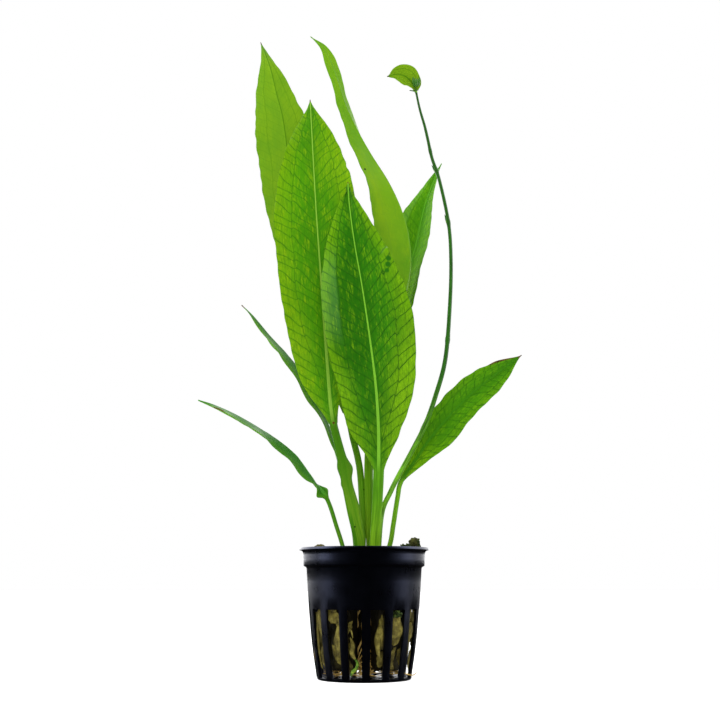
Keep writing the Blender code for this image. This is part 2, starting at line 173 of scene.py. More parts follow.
def readRoute(route, lengths, stations, blur=4):
    # places and directions at the stations, the directions evened out over a few steps
    slope = np.gradient(route, lengths, axis=0)
    padded = np.pad(slope, ((blur, blur), (0, 0)), mode="edge")
    weights = np.ones(2 * blur + 1) / (2 * blur + 1)
    slope = np.stack([np.convolve(padded[:, i], weights, "valid") for i in range(3)], axis=1)
    place = np.stack([np.interp(stations, lengths, route[:, i]) for i in range(3)], axis=1)
    along = np.stack([np.interp(stations, lengths, slope[:, i]) for i in range(3)], axis=1)
    return place, unit(along)


def unit(vectors):
    return vectors / np.linalg.norm(vectors, axis=-1, keepdims=True)


def ripple(x, y, size, seed):
    # a soft uneven swell from a few crossed waves, about -1 to 1
    draw = np.random.default_rng(seed)
    total = 0.0
    for _ in range(7):
        heading = draw.uniform(0, math.tau)
        rate = math.tau / size * draw.uniform(0.6, 1.5)
        phase = draw.uniform(0, math.tau)
        total = total + np.sin((x * math.cos(heading) + y * math.sin(heading)) * rate + phase)
    return total / 3.2


def gridPiece(name, around, along):
    # a flat grid to be wrapped: returns the piece and each vertex's column and row
    piece = addShape(name, bpy.ops.mesh.primitive_grid_add, x_subdivisions=around,
                     y_subdivisions=along, size=2)
    flat = places(piece)
    column = np.rint((flat[:, 0] + 1) / 2 * around).astype(int)
    row = np.rint((flat[:, 1] + 1) / 2 * along).astype(int)
    return piece, column, row


def addAttribute(piece, name, vectors):
    attribute = piece.data.attributes.new(name, "FLOAT_VECTOR", "POINT")
    attribute.data.foreach_set("vector", np.asarray(vectors, np.float32).ravel())


def tube(name, points, radii, sides=10, rows=60, ridges=0, ridgeShare=0.0, flatten=1.0):
    # a round strand along a smooth route, closed at both ends; ridges run down it and flatten presses it
    route, lengths = smoothRoute(points)
    share = np.linspace(0, 1, rows + 1)
    place, along = readRoute(route, lengths, share * lengths[-1])
    guide = np.array([0.0, 1.0, 0.0]) if abs(along[:, 1]).max() < 0.9 else np.array([1.0, 0.0, 0.0])
    side = unit(np.cross(guide, along))
    face = np.cross(along, side)
    piece, column, row = gridPiece(name, sides, rows)
    angle = column / sides * math.tau
    radius = valuesAlong(radii, share)[row] * (1 + ridgeShare * np.cos(ridges * angle))
    radius = np.where((row == 0) | (row == rows), 0.0, radius)
    offset = side[row] * (np.cos(angle) * radius)[:, None]
    offset = offset + face[row] * (np.sin(angle) * radius * flatten)[:, None]
    setPlaces(piece, (place[row] + offset) * mm)
    addAttribute(piece, "strandPlace", np.stack([share[row], share[row] * lengths[-1], angle], axis=1))
    closeUp(piece, 0.000002)
    return piece


camera = {"place": (-0.0017, -0.474, 0.038), "tilt": 11.34, "lens": 55.95}

bpy.ops.object.camera_add(location=camera["place"], rotation=(math.radians(90 + camera["tilt"]), 0, 0))
bpy.context.object.data.lens = camera["lens"]
bpy.context.object.data.sensor_width = 36
bpy.context.scene.camera = bpy.context.object
bpy.context.scene.view_settings.view_transform = "Standard"

lamps = {
    # name: place, size, power, aimed at
    "leftSoftbox": ((-0.75, -0.16, 0.28), (0.36, 0.90), 2.4, (0, 0, 0.15)),
    "rightSoftbox": ((0.75, -0.02, 0.28), (0.36, 0.90), 2.2, (0, 0, 0.15)),
    "topSoftbox": ((-0.15, -0.20, 0.95), (0.70, 0.70), 5.0, (0, 0, 0.12)),
    "frontFill": ((-0.10, -1.00, 0.42), (1.10, 0.80), 11.0, (0, 0, 0.15)),
}
hiddenFromShine = ("frontFill", "topSoftbox")   # these two light the plant but leave no glare on the pot


def buildStage():
    for name, (place, size, power, target) in lamps.items():
        bpy.ops.object.light_add(type="AREA", location=place)
        lamp = bpy.context.object
        lamp.name = name
        lamp.data.shape = "RECTANGLE"
        lamp.data.size, lamp.data.size_y = size
        lamp.data.energy = power
        lamp.visible_glossy = name not in hiddenFromShine
        lamp.rotation_euler = (Vector(target) - Vector(place)).to_track_quat("-Z", "Y").to_euler()
    floor = addShape("studioFloor", bpy.ops.mesh.primitive_plane_add, size=12)
    material, tree = newMaterial("mattWhitePaper")  # rolled paper over a light table: even, with no shine
    fibre = addNode(tree, "TexNoise", {"Scale": 40.0, "Detail": 3.0})
    tone = addNode(tree, "Mix", {0: fibre.outputs["Fac"], 6: linear("#f7f7f6"), 7: linear("#fbfbfb")},
                   data_type="RGBA").outputs[2]
    paper = addNode(tree, "BsdfPrincipled", {
        "Base Color": tone, "Roughness": 0.95, "Specular IOR Level": 0.1,
        "Emission Color": (1, 1, 1, 1), "Emission Strength": 0.45})
    black = addNode(tree, "Emission", {"Strength": 0.02})
    ray = addNode(tree, "LightPath")   # keeps the table out of the pot's reflections
    table = addNode(tree, "MixShader", {0: ray.outputs["Is Glossy Ray"], 1: paper.outputs[0],
                                        2: black.outputs[0]})
    setSurface(tree, table.outputs[0])
    floor.data.materials.append(material)
    buildRoom()


def buildRoom():
    # a white room, with the quarter that the camera stands in dim, and darker still in reflections
    world = bpy.data.worlds.new("whiteStudio")
    bpy.context.scene.world = world
    world.use_nodes = True
    tree = world.node_tree
    tree.nodes.clear()
    towards = addNode(tree, "SeparateXYZ", {0: addNode(tree, "TexCoord").outputs["Generated"]})
    bright = addNode(tree, "MapRange", {"Value": towards.outputs[1], 1: -0.80, 2: 0.10, 3: 0.30, 4: 1.0},
                     interpolation_type="SMOOTHSTEP")
    shine = addNode(tree, "MapRange", {"Value": towards.outputs[1], 1: -0.68, 2: -0.15, 3: 0.0, 4: 2.5},
                    interpolation_type="SMOOTHSTEP")
    leftward = addNode(tree, "MapRange", {"Value": towards.outputs[0], 1: 0.5, 2: -0.5, 3: 1.0, 4: 1.5})
    shine = addNode(tree, "Math", {0: shine.outputs[0], 1: leftward.outputs[0]}, operation="MULTIPLY")
    ray = addNode(tree, "LightPath")
    lit = addNode(tree, "Mix", {0: ray.outputs["Is Glossy Ray"], 2: bright.outputs[0], 3: shine.outputs[0]})
    strength = addNode(tree, "Mix", {0: ray.outputs["Is Camera Ray"], 2: lit.outputs[0], 3: 1.0})
    glow = addNode(tree, "Background", {"Color": (1, 1, 1, 1), "Strength": strength.outputs[0]})
    output = tree.nodes.new("ShaderNodeOutputWorld")
    tree.links.new(glow.outputs[0], output.inputs["Surface"])


buildStage()
print("stage ready")


pot = {
    "outline": [  # outer side, radius and height in mm, from the lip down and in under the floor
        (27.0, 52.0), (26.3, 51.85), (25.75, 51.5), (25.45, 50.9), (25.4, 50.0), (25.3, 48.0), (25.2, 45.9),
        (25.05, 45.5), (24.2, 45.05), (23.95, 44.6), (23.6, 39.0), (23.2, 33.5), (22.8, 28.1), (22.4, 23.5),
        (22.0, 19.0), (21.5, 14.5), (20.9, 10.0), (20.2, 5.5), (19.65, 2.2), (19.5, 1.0), (19.3, 0.55),
        (18.9, 0.15), (18.4, 0.0), (17.5, 0.0), (14.5, 0.0), (11.0, 0.0), (8.0, 0.0), (4.0, 0.0), (0.3, 0.0),
    ],
    "wall": 1.0,
    "segments": 120,        # eight to each slot and rib together
    "slots": 15,
    "slotSegments": 5,
    "firstSlot": -76.2,     # heading of a slot's middle, degrees
    "slotTop": 28.1,
    "slotFoot": 1.0,
    "floorSlot": (8.0, 17.5),
    "edge": 0.16,
}


def buildPot():
    segments = pot["segments"]
    turn = math.radians(pot["firstSlot"]) - math.pi / segments * (pot["slotSegments"] % 2)
    radius, height = pot["outline"][0]
    ring = addShape("netPot", bpy.ops.mesh.primitive_circle_add, vertices=segments, radius=radius * mm,
                    location=(0, 0, height * mm), rotation=(0, 0, turn))
    bpy.ops.object.transform_apply(location=True, rotation=True, scale=True)
    bpy.ops.object.mode_set(mode="EDIT")
    bpy.ops.mesh.select_all(action="SELECT")
    for nextRadius, nextHeight in pot["outline"][1:]:
        # each band is drawn out of the last ring and narrowed to the outline
        bpy.ops.mesh.extrude_region_move(TRANSFORM_OT_translate={"value": (0, 0, (nextHeight - height) * mm)})
        share = nextRadius / radius
        bpy.ops.transform.resize(value=(share, share, 1), center_override=(0, 0, nextHeight * mm))
        radius, height = nextRadius, nextHeight
    bpy.ops.mesh.edge_face_add()
    bpy.ops.mesh.select_all(action="SELECT")
    bpy.ops.mesh.normals_make_consistent(inside=True)   # the wall grows inwards from the outline
    bpy.ops.mesh.select_mode(type="FACE")
    bpy.ops.object.mode_set(mode="OBJECT")
    cutSlots(ring)
    applyModifier(ring, "SOLIDIFY", thickness=pot["wall"] * mm, offset=-1, use_even_offset=True,
                  use_quality_normals=True)
    applyModifier(ring, "BEVEL", width=pot["edge"] * mm, segments=2, limit_method="ANGLE",
                  angle_limit=math.radians(40))
    bpy.ops.object.mode_set(mode="EDIT")
    bpy.ops.mesh.select_all(action="SELECT")
    bpy.ops.mesh.normals_make_consistent(inside=False)
    bpy.ops.object.mode_set(mode="OBJECT")
    bpy.ops.object.shade_smooth_by_angle(angle=math.radians(38))
    return ring


def cutSlots(ring):
    # the faces between the ribs are picked by their place and deleted
    spacing = math.tau / pot["slots"]
    first = math.radians(pot["firstSlot"])
    half = math.tau / pot["segments"] * pot["slotSegments"] / 2
    inner, outer = pot["floorSlot"]
    for face in ring.data.polygons:
        x, y, z = face.center / mm
        away = (math.atan2(y, x) - first + spacing / 2) % spacing - spacing / 2
        onWall = pot["slotFoot"] < z < pot["slotTop"]
        onFloor = z < 0.05 and inner < math.hypot(x, y) < outer
        face.select = abs(away) < half and (onWall or onFloor)
    bpy.ops.object.mode_set(mode="EDIT")
    bpy.ops.mesh.delete(type="FACE")
    bpy.ops.object.mode_set(mode="OBJECT")


def potPlastic():
    # injection-moulded polypropylene, black: a dim satin skin with a cold sheen, the ribs a little scuffed
    material, tree = newMaterial("mouldedPolypropylene")
    where = addNode(tree, "TexCoord").outputs["Object"]
    grain = addNode(tree, "TexNoise", {"Vector": where, "Scale": 2600.0, "Detail": 2.0})   # 0.4 mm
    cloud = addNode(tree, "TexNoise", {"Vector": where, "Scale": 130.0, "Detail": 4.0})    # 8 mm
    drawn = addNode(tree, "VectorMath", {0: where, 1: (1.0, 1.0, 0.08)}, operation="MULTIPLY").outputs[0]
    scuff = addNode(tree, "TexNoise", {"Vector": drawn, "Scale": 900.0, "Detail": 3.0}).outputs["Fac"]
    tone = addNode(tree, "Mix", {0: cloud.outputs["Fac"], 6: linear("#000000"), 7: linear("#020203")},
                   data_type="RGBA").outputs[2]
    rough = addNode(tree, "MapRange", {"Value": cloud.outputs["Fac"], 1: 0.3, 2: 0.7, 3: 0.22, 4: 0.32})
    worn = addNode(tree, "Math", {0: scuff, 1: 0.08, 2: rough.outputs[0]},
                   operation="MULTIPLY_ADD")
    bump = addNode(tree, "Bump", {"Strength": 0.25, "Distance": 0.00006, "Height": grain.outputs["Fac"]})
    plastic = addNode(tree, "BsdfPrincipled", {
        "Base Color": tone, "Roughness": worn.outputs[0], "Normal": bump.outputs[0], "IOR": 1.49,
        "Specular Tint": linear("#b0bef6")})
    setSurface(tree, plastic.outputs[0])
    return material


finishPiece(buildPot(), ["net_pot"], potPlastic())
print("net pot turned and slotted")


# Every leaf: the stem's and midrib's points and the half widths in mm, the headings of its right hand side in
# degrees, the slopes of its fold, the margin's waves (height, count, phase) and the stem's widths and depth.
# Some have more: twists are local turns (share of the blade, spread, degrees); lobes widen or nick one side
# (mm along the blade, reach, side, mm); curls turn a bit of margin up and in (share, spread, side, inwards,
# upwards); settle lowers a folded blade on its midrib, and quilt sets the height of its pillows in mm.
# Marks on the skin: spots (mm along, mm across, radius, colour), among them a painted shadow line down a stem
# and painted shade on a curled flap; scorch browns an edge or a tip (share, reach, side, width); paintedSheen
# is a painted sheen, a pale reflection painted on a strip of margin (share, reach, side); tones run the green
# yellower or, below zero, deeper (share, side, reach, spread, amount).
leaves = {
    "leafTallLeft": {
        "node": "leaf_tall_left", "slot": "leaf_pale_green", "skin": "paleUnderside",
        "stem": [(-0.9, 1.2, 41), (-0.6, 1.4, 54), (-0.5, 2.0, 66), (-0.9, 2.8, 76), (-1.6, 3.6, 85),
                 (-2.8, 4.4, 92), (-4.8, 5.4, 100), (-7.4, 6.6, 111)],
        "blade": [(-18.6, 10, 148.5), (-27, 12, 179), (-32.8, 14, 208), (-35.5, 16, 236), (-37.8, 17, 252),
                  (-41, 18.5, 265), (-44.4, 20, 279), (-49.5, 23, 293.5)],
        "left": [1.7, 6, 9, 10, 11, 11.5, 10.5, 5.8, 0],
        "right": [1.7, 6, 8, 9.4, 11.4, 13.4, 13.8, 8.6, 0],
        "turn": [180, 180, 180, 178, 175],
        "fold": [0.15, 0.15, 0.15],
        "wave": (0.6, 3, 0.2),
        "stemWidths": [2.5, 2.7, 2.9, 2.8, 2.7, 2.7], "stemDepth": 2.2,
        "lobes": [(153, 2.4, -1, -0.7), (175, 3.0, -1, -0.5)],
        "tones": [(0.62, -0.2, 0.25, 0.5, 0.30), (0.35, 0.3, 0.2, 0.6, 0.35)],
        "scorch": [(1.0, 0.012, 0.0, 1.0)],
        # painted shadow: these spots paint a dark line down the gap between this stem and leafTallTwisted's
        "spots": [(-34.6, -1.15, 0.50, "#070905"), (-36.4, -1.20, 0.40, "#12300a"),
                  (-38.2, -1.20, 0.34, "#12300a"), (-40.0, -1.20, 0.28, "#12300a")],
        "seed": 11,
    },
    "leafFrontLeft": {
        "node": "leaf_front_left", "slot": "leaf_green", "skin": "freshGreen",
        "stem": [(-1.9, -3.2, 41), (-1.7, -3.7, 54), (-2.9, -4.2, 61), (-4.8, -4.8, 69.7), (-7.2, -5.6, 79.5),
                 (-9.2, -6.5, 89.3), (-12.0, -7.9, 100.1), (-12.9, -8.3, 104)],
        "blade": [(-14.2, -10, 113), (-15.4, -12.5, 128), (-17.3, -15, 152), (-18.8, -16, 172),
                  (-20.6, -15, 196), (-22.2, -12, 221), (-24, -7, 250.4)],
        "left": [1.8, 11.4, 15.3, 17.3, 18.3, 18, 14.8, 8.5, 0],
        "right": [1.8, 6.5, 10, 13.5, 16, 17, 15, 9, 0],
        "turn": [0, 2, 4, 4, 2],
        "fold": [0.2, 0.16, 0.12],
        "wave": (0.9, 4, 0.0),
        "stemWidths": [4.0, 4.4, 5.0, 5.4, 4.6, 4.0, 3.5, 3.3], "stemDepth": 2.2,
        "lobes": [(-18.5, 3.0, -1, 0.8), (-19.5, 3.2, 1, 1.5), (-25.5, 1.2, -1, 0.4), (112, 1.8, 1, -0.6)],
        "tones": [(0.80, 0.3, 0.16, 0.6, 0.35), (0.62, 0.75, 0.14, 0.3, 0.25), (0.24, -0.6, 0.14, 0.35, 0.35),
                  (0.50, 0.0, 0.16, 0.5, -0.5), (0.96, 0.0, 0.05, 0.9, -0.5)],
        "spots": [(-43.7, -0.8, 0.42, "#0b0d08"), (0.5, 0.2, 0.6, "#4a2410")],
        "scorch": [(1.0, 0.013, 0.0, 1.0)],
        "seed": 23,
    },
    "leafFrontCentre": {
        "node": "leaf_front_centre", "slot": "leaf_dark_green", "skin": "deepGreen",
        "stem": [(3.8, -3.4, 41), (4.5, -4.2, 54), (5.5, -6, 72.5), (6, -8.5, 84.5)],
        "blade": [(6, -12, 100.5), (4.9, -17, 118), (2.4, -20.3, 138), (-0.9, -22.0, 160.4),
                  (-4, -21.8, 178.7), (-6.2, -20.4, 196.2), (-6.9, -18.4, 207.3)],
        "left": [2.2, 11.4, 15, 17.2, 17.8, 17, 12.8, 7, 0],
        "right": [2.2, 8.7, 14.9, 18.2, 18.9, 16.9, 12.4, 6, 0],
        "turn": [0, 0, 0, -3, -4],
        "fold": [0.25, 0.18, 0.15],
        "wave": (0.7, 5, 0.4),
        "stemWidths": [5.4, 4.7, 4.3, 4.4], "stemDepth": 2.3,
        "curls": [(0.715, 0.016, 1, 1.2, 1.4), (0.955, 0.012, -1, 1.2, 0.9)],
        "lobes": [(90.0, 1.7, 1, 1.2)],
        # painted shade: dark green spots under the curled flap on the right margin
        "spots": [(86.5, 13.0, 1.4, "#1c5408"), (84.2, 12.2, 1.4, "#1c5408"), (81.8, 11.4, 1.1, "#1c5408")],
        "tones": [(0.27, 0.65, 0.16, 0.45, 0.6), (0.10, 0.0, 0.09, 0.9, 0.3), (0.26, -0.8, 0.10, 0.3, 0.25),
                  (0.58, -0.3, 0.16, 0.4, -1.1), (0.45, -0.5, 0.14, 0.4, -0.8), (0.92, 0.0, 0.08, 0.8, 0.25)],
        "scorch": [(1.0, 0.010, 0.0, 1.0)],
        # painted sheen: a pale reflection painted on a strip of the left margin
        "paintedSheen": [(0.60, 0.20, -1)],
        "seed": 37,
    },
    "leafTallTwisted": {
        "node": "leaf_tall_twisted", "slot": "leaf_pale_green", "skin": "brightUnderside",
        "stem": [(2.5, 0.4, 41), (2.6, 0.9, 54), (2.3, 1.8, 66), (2.0, 2.4, 77), (2.0, 3.2, 88),
                 (2.5, 4.2, 99), (4.4, 5.4, 110)],
        "blade": [(12.6, 8, 142), (17.2, 9, 162), (20.3, 9.5, 178), (19.6, 9, 192), (16.4, 8, 204),
                  (10.8, 7, 216.5), (3.2, 6, 229), (-2.6, 5, 239.6), (-8.1, 4, 251.5), (-11.7, 3, 262.6),
                  (-15.1, 1.6, 272.3), (-18.7, 0.8, 279.2), (-24.6, 0, 284.5)],
        "left": [1.6, 4, 7, 9, 10.2, 10.6, 10.5, 9, 7.4, 5.2, 3.1, 3.0, 0],
        "right": [1.6, 4, 7, 9, 10.3, 10.8, 11.0, 10.2, 8.4, 5.4, 3.1, 3.0, 0],
        "turn": [180, 190, 212, 225, 225, 230, 240, 216, 183],
        "fold": [0.25, 0.45, 0.75, 0.85, 0.85, 0.55, 0.38, 0.08, 0.0],
        "wave": (0.3, 3, 0.5),
        "stemWidths": [3.0, 3.3, 3.5, 3.7, 3.8, 3.6], "stemDepth": 2.2,
        "spots": [(119.5, 7.9, 0.6, "#070905")],
        "tones": [(0.55, 0.7, 0.15, 0.3, 0.5)],
        "seed": 41,
    },
    "leafBackRight": {
        "node": "leaf_back_right", "slot": "leaf_dark_green", "skin": "shadedGreen",
        "stem": [(3.4, 4.6, 41), (4.2, 5, 54), (5.6, 8, 73), (7, 13.5, 95), (9, 20, 118)],
        "blade": [(13.6, 25.5, 147.2), (18, 29.5, 171.8), (24.5, 32.5, 194), (29.1, 34, 214),
                  (32.9, 34.5, 225), (37.6, 35, 236.6)],
        "left": [1.4, 6, 10, 12, 12.5, 12, 9.5, 4.5, 0],
        "right": [1.4, 5, 8, 9.5, 10, 9.5, 7, 3.5, 0],
        "turn": [0, -10, -25, -32, -35],
        "fold": [0.5, 0.5, 0.4],
        "wave": (0.5, 3, 0.1),
        "stemWidths": [3.0, 3.0], "stemDepth": 2.0,
        # painted sheen: a pale reflection painted on a strip of the left margin
        "paintedSheen": [(0.80, 0.36, -1)],
        "tones": [(0.45, 0.4, 0.15, 0.5, 0.35)],
        "seed": 53,
    },
    "leafLowRight": {
        "node": "leaf_low_right", "slot": "leaf_green", "skin": "lowGreen",
        "stem": [(6.1, 1.6, 41), (10.7, 1.6, 54), (12.3, 2.2, 62.5), (14.2, 3.2, 74), (15.8, 4, 81)],
        "blade": [(21.9, 6, 90), (29.1, 8, 100.5), (39.8, 10, 112.8), (49.8, 11, 122.3), (60.1, 11, 130.3),
                  (69.7, 10, 137.3)],
        "left": [0.9, 2.5, 4.8, 6.6, 7.4, 7.5, 6.5, 4.3, 0],
        "right": [0.9, 3.5, 7, 8.8, 8.2, 7.5, 7, 4.2, 0],
        "turn": [0, 0, 0, 0, 0],
        "fold": [0.15, 0.12, 0.1],
        "wave": (0.7, 3, 0.3),
        "stemWidths": [2.0, 2.0], "stemDepth": 1.7,
        "scorch": [(0.90, 0.10, -1.0, 0.45), (1.0, 0.03, 0.0, 1.2)],
        "tones": [(0.08, 0.0, 0.18, 1.2, 1.0), (0.5, 0.0, 0.2, 0.6, 0.15)],
        "seed": 61,
    },
    "leafLowLeft": {
        "node": "leaf_low_left", "slot": "leaf_dark_green", "skin": "strapGreen",
        "stem": [(-5.7, -1.7, 41), (-9.0, -2, 54), (-11.4, -2.5, 61.5), (-14.0, -3.1, 69.6), (-16, -3.6, 74)],
        "blade": [(-18.4, -4.3, 77), (-21.0, -5, 79.8), (-24.6, -5.6, 83.6), (-30, -6.5, 90),
                  (-37.4, -7.5, 96.4), (-45.8, -8.5, 102), (-55, -9.5, 107.4), (-63.8, -10, 111.6),
                  (-69.7, -10, 114)],
        "left": [0.9, 3.2, 5, 6, 6.2, 5.6, 4.6, 2.8, 0],
        "right": [0.9, 3.2, 5, 6, 6.2, 5.6, 4.6, 2.8, 0],
        "turn": [60, 76, 83, 85, 85],
        "fold": [0.2, -0.6, -0.6, -0.42, -0.38, -0.35, -0.3],
        "settle": 0.45,
        "quilt": 0.01,
        "wave": (0.25, 4, 0.0),
        "stemWidths": [1.9, 1.9], "stemDepth": 1.7,
        "twists": [(0.03, 0.045, -58)],
        "lobes": [(2.4, 2.2, -1, 2.0), (1.6, 2.0, 1, 1.3), (7.0, 1.6, -1, -0.7), (7.0, 1.6, 1, -0.7)],
        "spots": [(6.6, 0.3, 0.8, "#0b0d08")],
        "tones": [(0.35, 0.0, 0.45, 2.0, -0.6)],
        "scorch": [(0.85, 0.05, -1.0, 0.6)],
        "seed": 71,
    },
    "leafMidLeft": {
        "node": "leaf_mid_left", "slot": "leaf_green", "skin": "strapGreen",
        "stem": [(-4.0, 3.4, 41), (-3.6, 3.6, 54), (-5.2, 4.2, 65), (-7.8, 5, 77.5), (-10, 6.2, 88)],
        "blade": [(-13.6, 8, 99.6), (-18.8, 10, 111.4), (-24.2, 12, 120.4), (-28.9, 13, 129.4),
                  (-35.7, 14.5, 138.2), (-42.7, 16, 146.4), (-50.8, 17, 157), (-55.3, 17.5, 162)],
        "left": [0.9, 2.6, 4.2, 5.2, 5.4, 4.8, 3.8, 2.2, 0],
        "right": [0.9, 2.6, 4.2, 5.2, 5.4, 4.8, 3.8, 2.2, 0],
        "turn": [40, 62, 76, 80, 80],
        "fold": [-0.2, -0.5, -0.55, -0.5],
        "settle": 0.45,
        "quilt": 0.02,
        "wave": (0.5, 4, 0.3),
        "stemWidths": [2.2, 2.2], "stemDepth": 1.8,
        "scorch": [(1.0, 0.03, 0.0, 1.2)],
        "seed": 83,
    },
    "bract": {
        "node": "bract", "slot": "bract", "skin": "bractGreen",
        "stem": [(24.0, -0.1, 255.4), (23.8, -0.3, 256.3), (23.5, -0.5, 257.3)],
        "blade": [(22.9, -0.9, 259.0), (21.4, -1.2, 261.6), (18.3, -1.6, 264.1), (14.6, -1.8, 264.7),
                  (12.0, -1.8, 264.1), (10.5, -1.8, 263.9)],
        "left": [1.2, 2.4, 3.5, 4.4, 4.6, 4.0, 2.9, 1.3, 0],
        "right": [1.8, 3.2, 4.1, 4.8, 5.1, 4.6, 3.5, 1.6, 0],
        "sideways": (0, 0, 1),
        "fold": [0.5, 0.4, 0.3, 0.2],
        "quilt": 0.01,
        "wave": (0.2, 2, 0.0),
        "stemWidths": [1.0, 1.2], "stemDepth": 0.9,
        "scorch": [(1.0, 0.06, 0.0, 1.2)],
        "grid": (30, 20, 90),
        "spacing": 2.2,
        "seed": 97,
    },
}

blade = {
    # the same for every leaf
    "grid": (58, 70, 290),      # columns on each face, rows on the stem, rows on the blade
    "half": 0.24,               # half the blade's thickness beside the midrib, mm
    "margin": 0.09,             # and at the margin
    "spacing": 4.4,             # between cross veins, mm
    "steepness": 0.95,          # rise of a cross vein for each mm outwards
    "flattening": 0.010,        # and how that rise eases off towards the margin
    "quilt": 0.07,              # height of the pillows between the veins, mm
    "swell": 0.35,              # slow unevenness of the blade, mm
    "ribUp": 0.10,              # the midrib's rise on the upper side, mm
    "groove": 0.20,             # depth of the grooves beside it, mm
    "groovePlace": (0.75, 0.35),    # how far out they lie, and their half width, mm
    "clasp": (46.0, 5, 0.5),    # the stem's foot widens below this height, over this depth, by this share
    "ribHalf": (0.20, 0.62),    # half the midrib's painted width, at the tip and at the foot
    "tip": 0.22,                # least half width, mm
}


def leafFrame(leaf, stations, lengths, route, bladeShare):
    # at each station: the midrib's place, the right hand side and the way the blade faces
    place, along = readRoute(route, lengths, stations)
    if "sideways" in leaf:
        heading = np.broadcast_to(np.array(leaf["sideways"], float), place.shape)
    else:
        turn = valuesAlong(leaf["turn"], stations / lengths[-1])
        for at, spread, degrees in leaf.get("twists", []):
            turn = turn + degrees * np.exp(-(((bladeShare - at) / spread) ** 2))
        turn = np.radians(turn)
        heading = np.stack([np.cos(turn), np.sin(turn), 0 * turn], axis=1)
    side = unit(heading - along * np.sum(heading * along, axis=1, keepdims=True))
    return place, side, np.cross(side, along)


def leafVeins(leaf, share, across, acrossMm, alongMm, halfWidth):
    # the cross veins' phase, which is whole on each vein, and the distances to two long veins in mm
    seed = leaf["seed"]
    spacing = leaf.get("spacing", blade["spacing"])
    outward = np.abs(acrossMm)
    hand = np.where(acrossMm > 0, 1.0, 0.0)
    rise = blade["steepness"] * (1 + 0.3 * ease((share - 0.6) / 0.4))
    phase = (alongMm - outward * rise + blade["flattening"] * outward**2) / spacing
    phase = phase + 0.22 * ripple(alongMm, 60 * hand, 14, seed)
    phase = phase + 0.05 * ripple(acrossMm, alongMm, 6, seed + 1)
    phase = phase + 0.37 * hand     # the two sides' veins don't meet at the midrib
    first = 0.60 * ease((share + 0.03) / 0.35) + 0.02 * ripple(alongMm, 40 * hand, 25, seed + 2)
    first = first * (1 - 0.25 * ease((share - 0.8) / 0.2))
    second = 0.83 * ease((share + 0.06) / 0.22)
    firstGap = (np.abs(across) - first) * halfWidth
    secondGap = (np.abs(across) - second) * halfWidth
    phase = phase + np.where(firstGap > 0, 0.28, 0.0)   # nor do they run straight over the long vein
    return phase, firstGap, secondGap


def lobesOf(leaf, alongMm, across):
    # how much wider, or below 0 narrower, a lobe or a nick makes one side, mm
    extra = np.zeros_like(alongMm)
    for at, reach, hand, amount in leaf.get("lobes", []):
        extra += amount * np.exp(-(((alongMm - at) / reach) ** 2)) * (across * hand > 0)
    return extra


def edgeMark(marks, share, across):
    # how strongly an edge or a whole tip is marked, 0 to 1
    amount = np.zeros_like(share)
    for at, reach, hand, width in marks:
        near = 1 - np.abs(share - at) / reach
        edge = 1 - np.abs(across - hand) / width if hand else 1.0
        amount = np.maximum(amount, np.clip(near, 0, 1) ** 0.5 * np.clip(edge, 0, 1))
    return amount


def paintedSheenOf(leaf, share, across, firstGap):
    # a painted sheen: a pale reflection painted on the strip between the long vein and the margin
    amount = np.zeros_like(share)
    for at, reach, hand in leaf.get("paintedSheen", []):
        amount += ease(1.4 - 1.4 * np.abs(share - at) / reach) * ease(firstGap / 0.8) * (across * hand > 0)
    return amount


def toneOf(leaf, share, across):
    # where the blade runs yellower, above 0, or deeper green, below 0
    tone = np.zeros_like(share)
    for at, side, reach, spread, amount in leaf.get("tones", []):
        tone += amount * np.exp(-(((share - at) / reach) ** 2) - ((across - side) / spread) ** 2)
    return tone


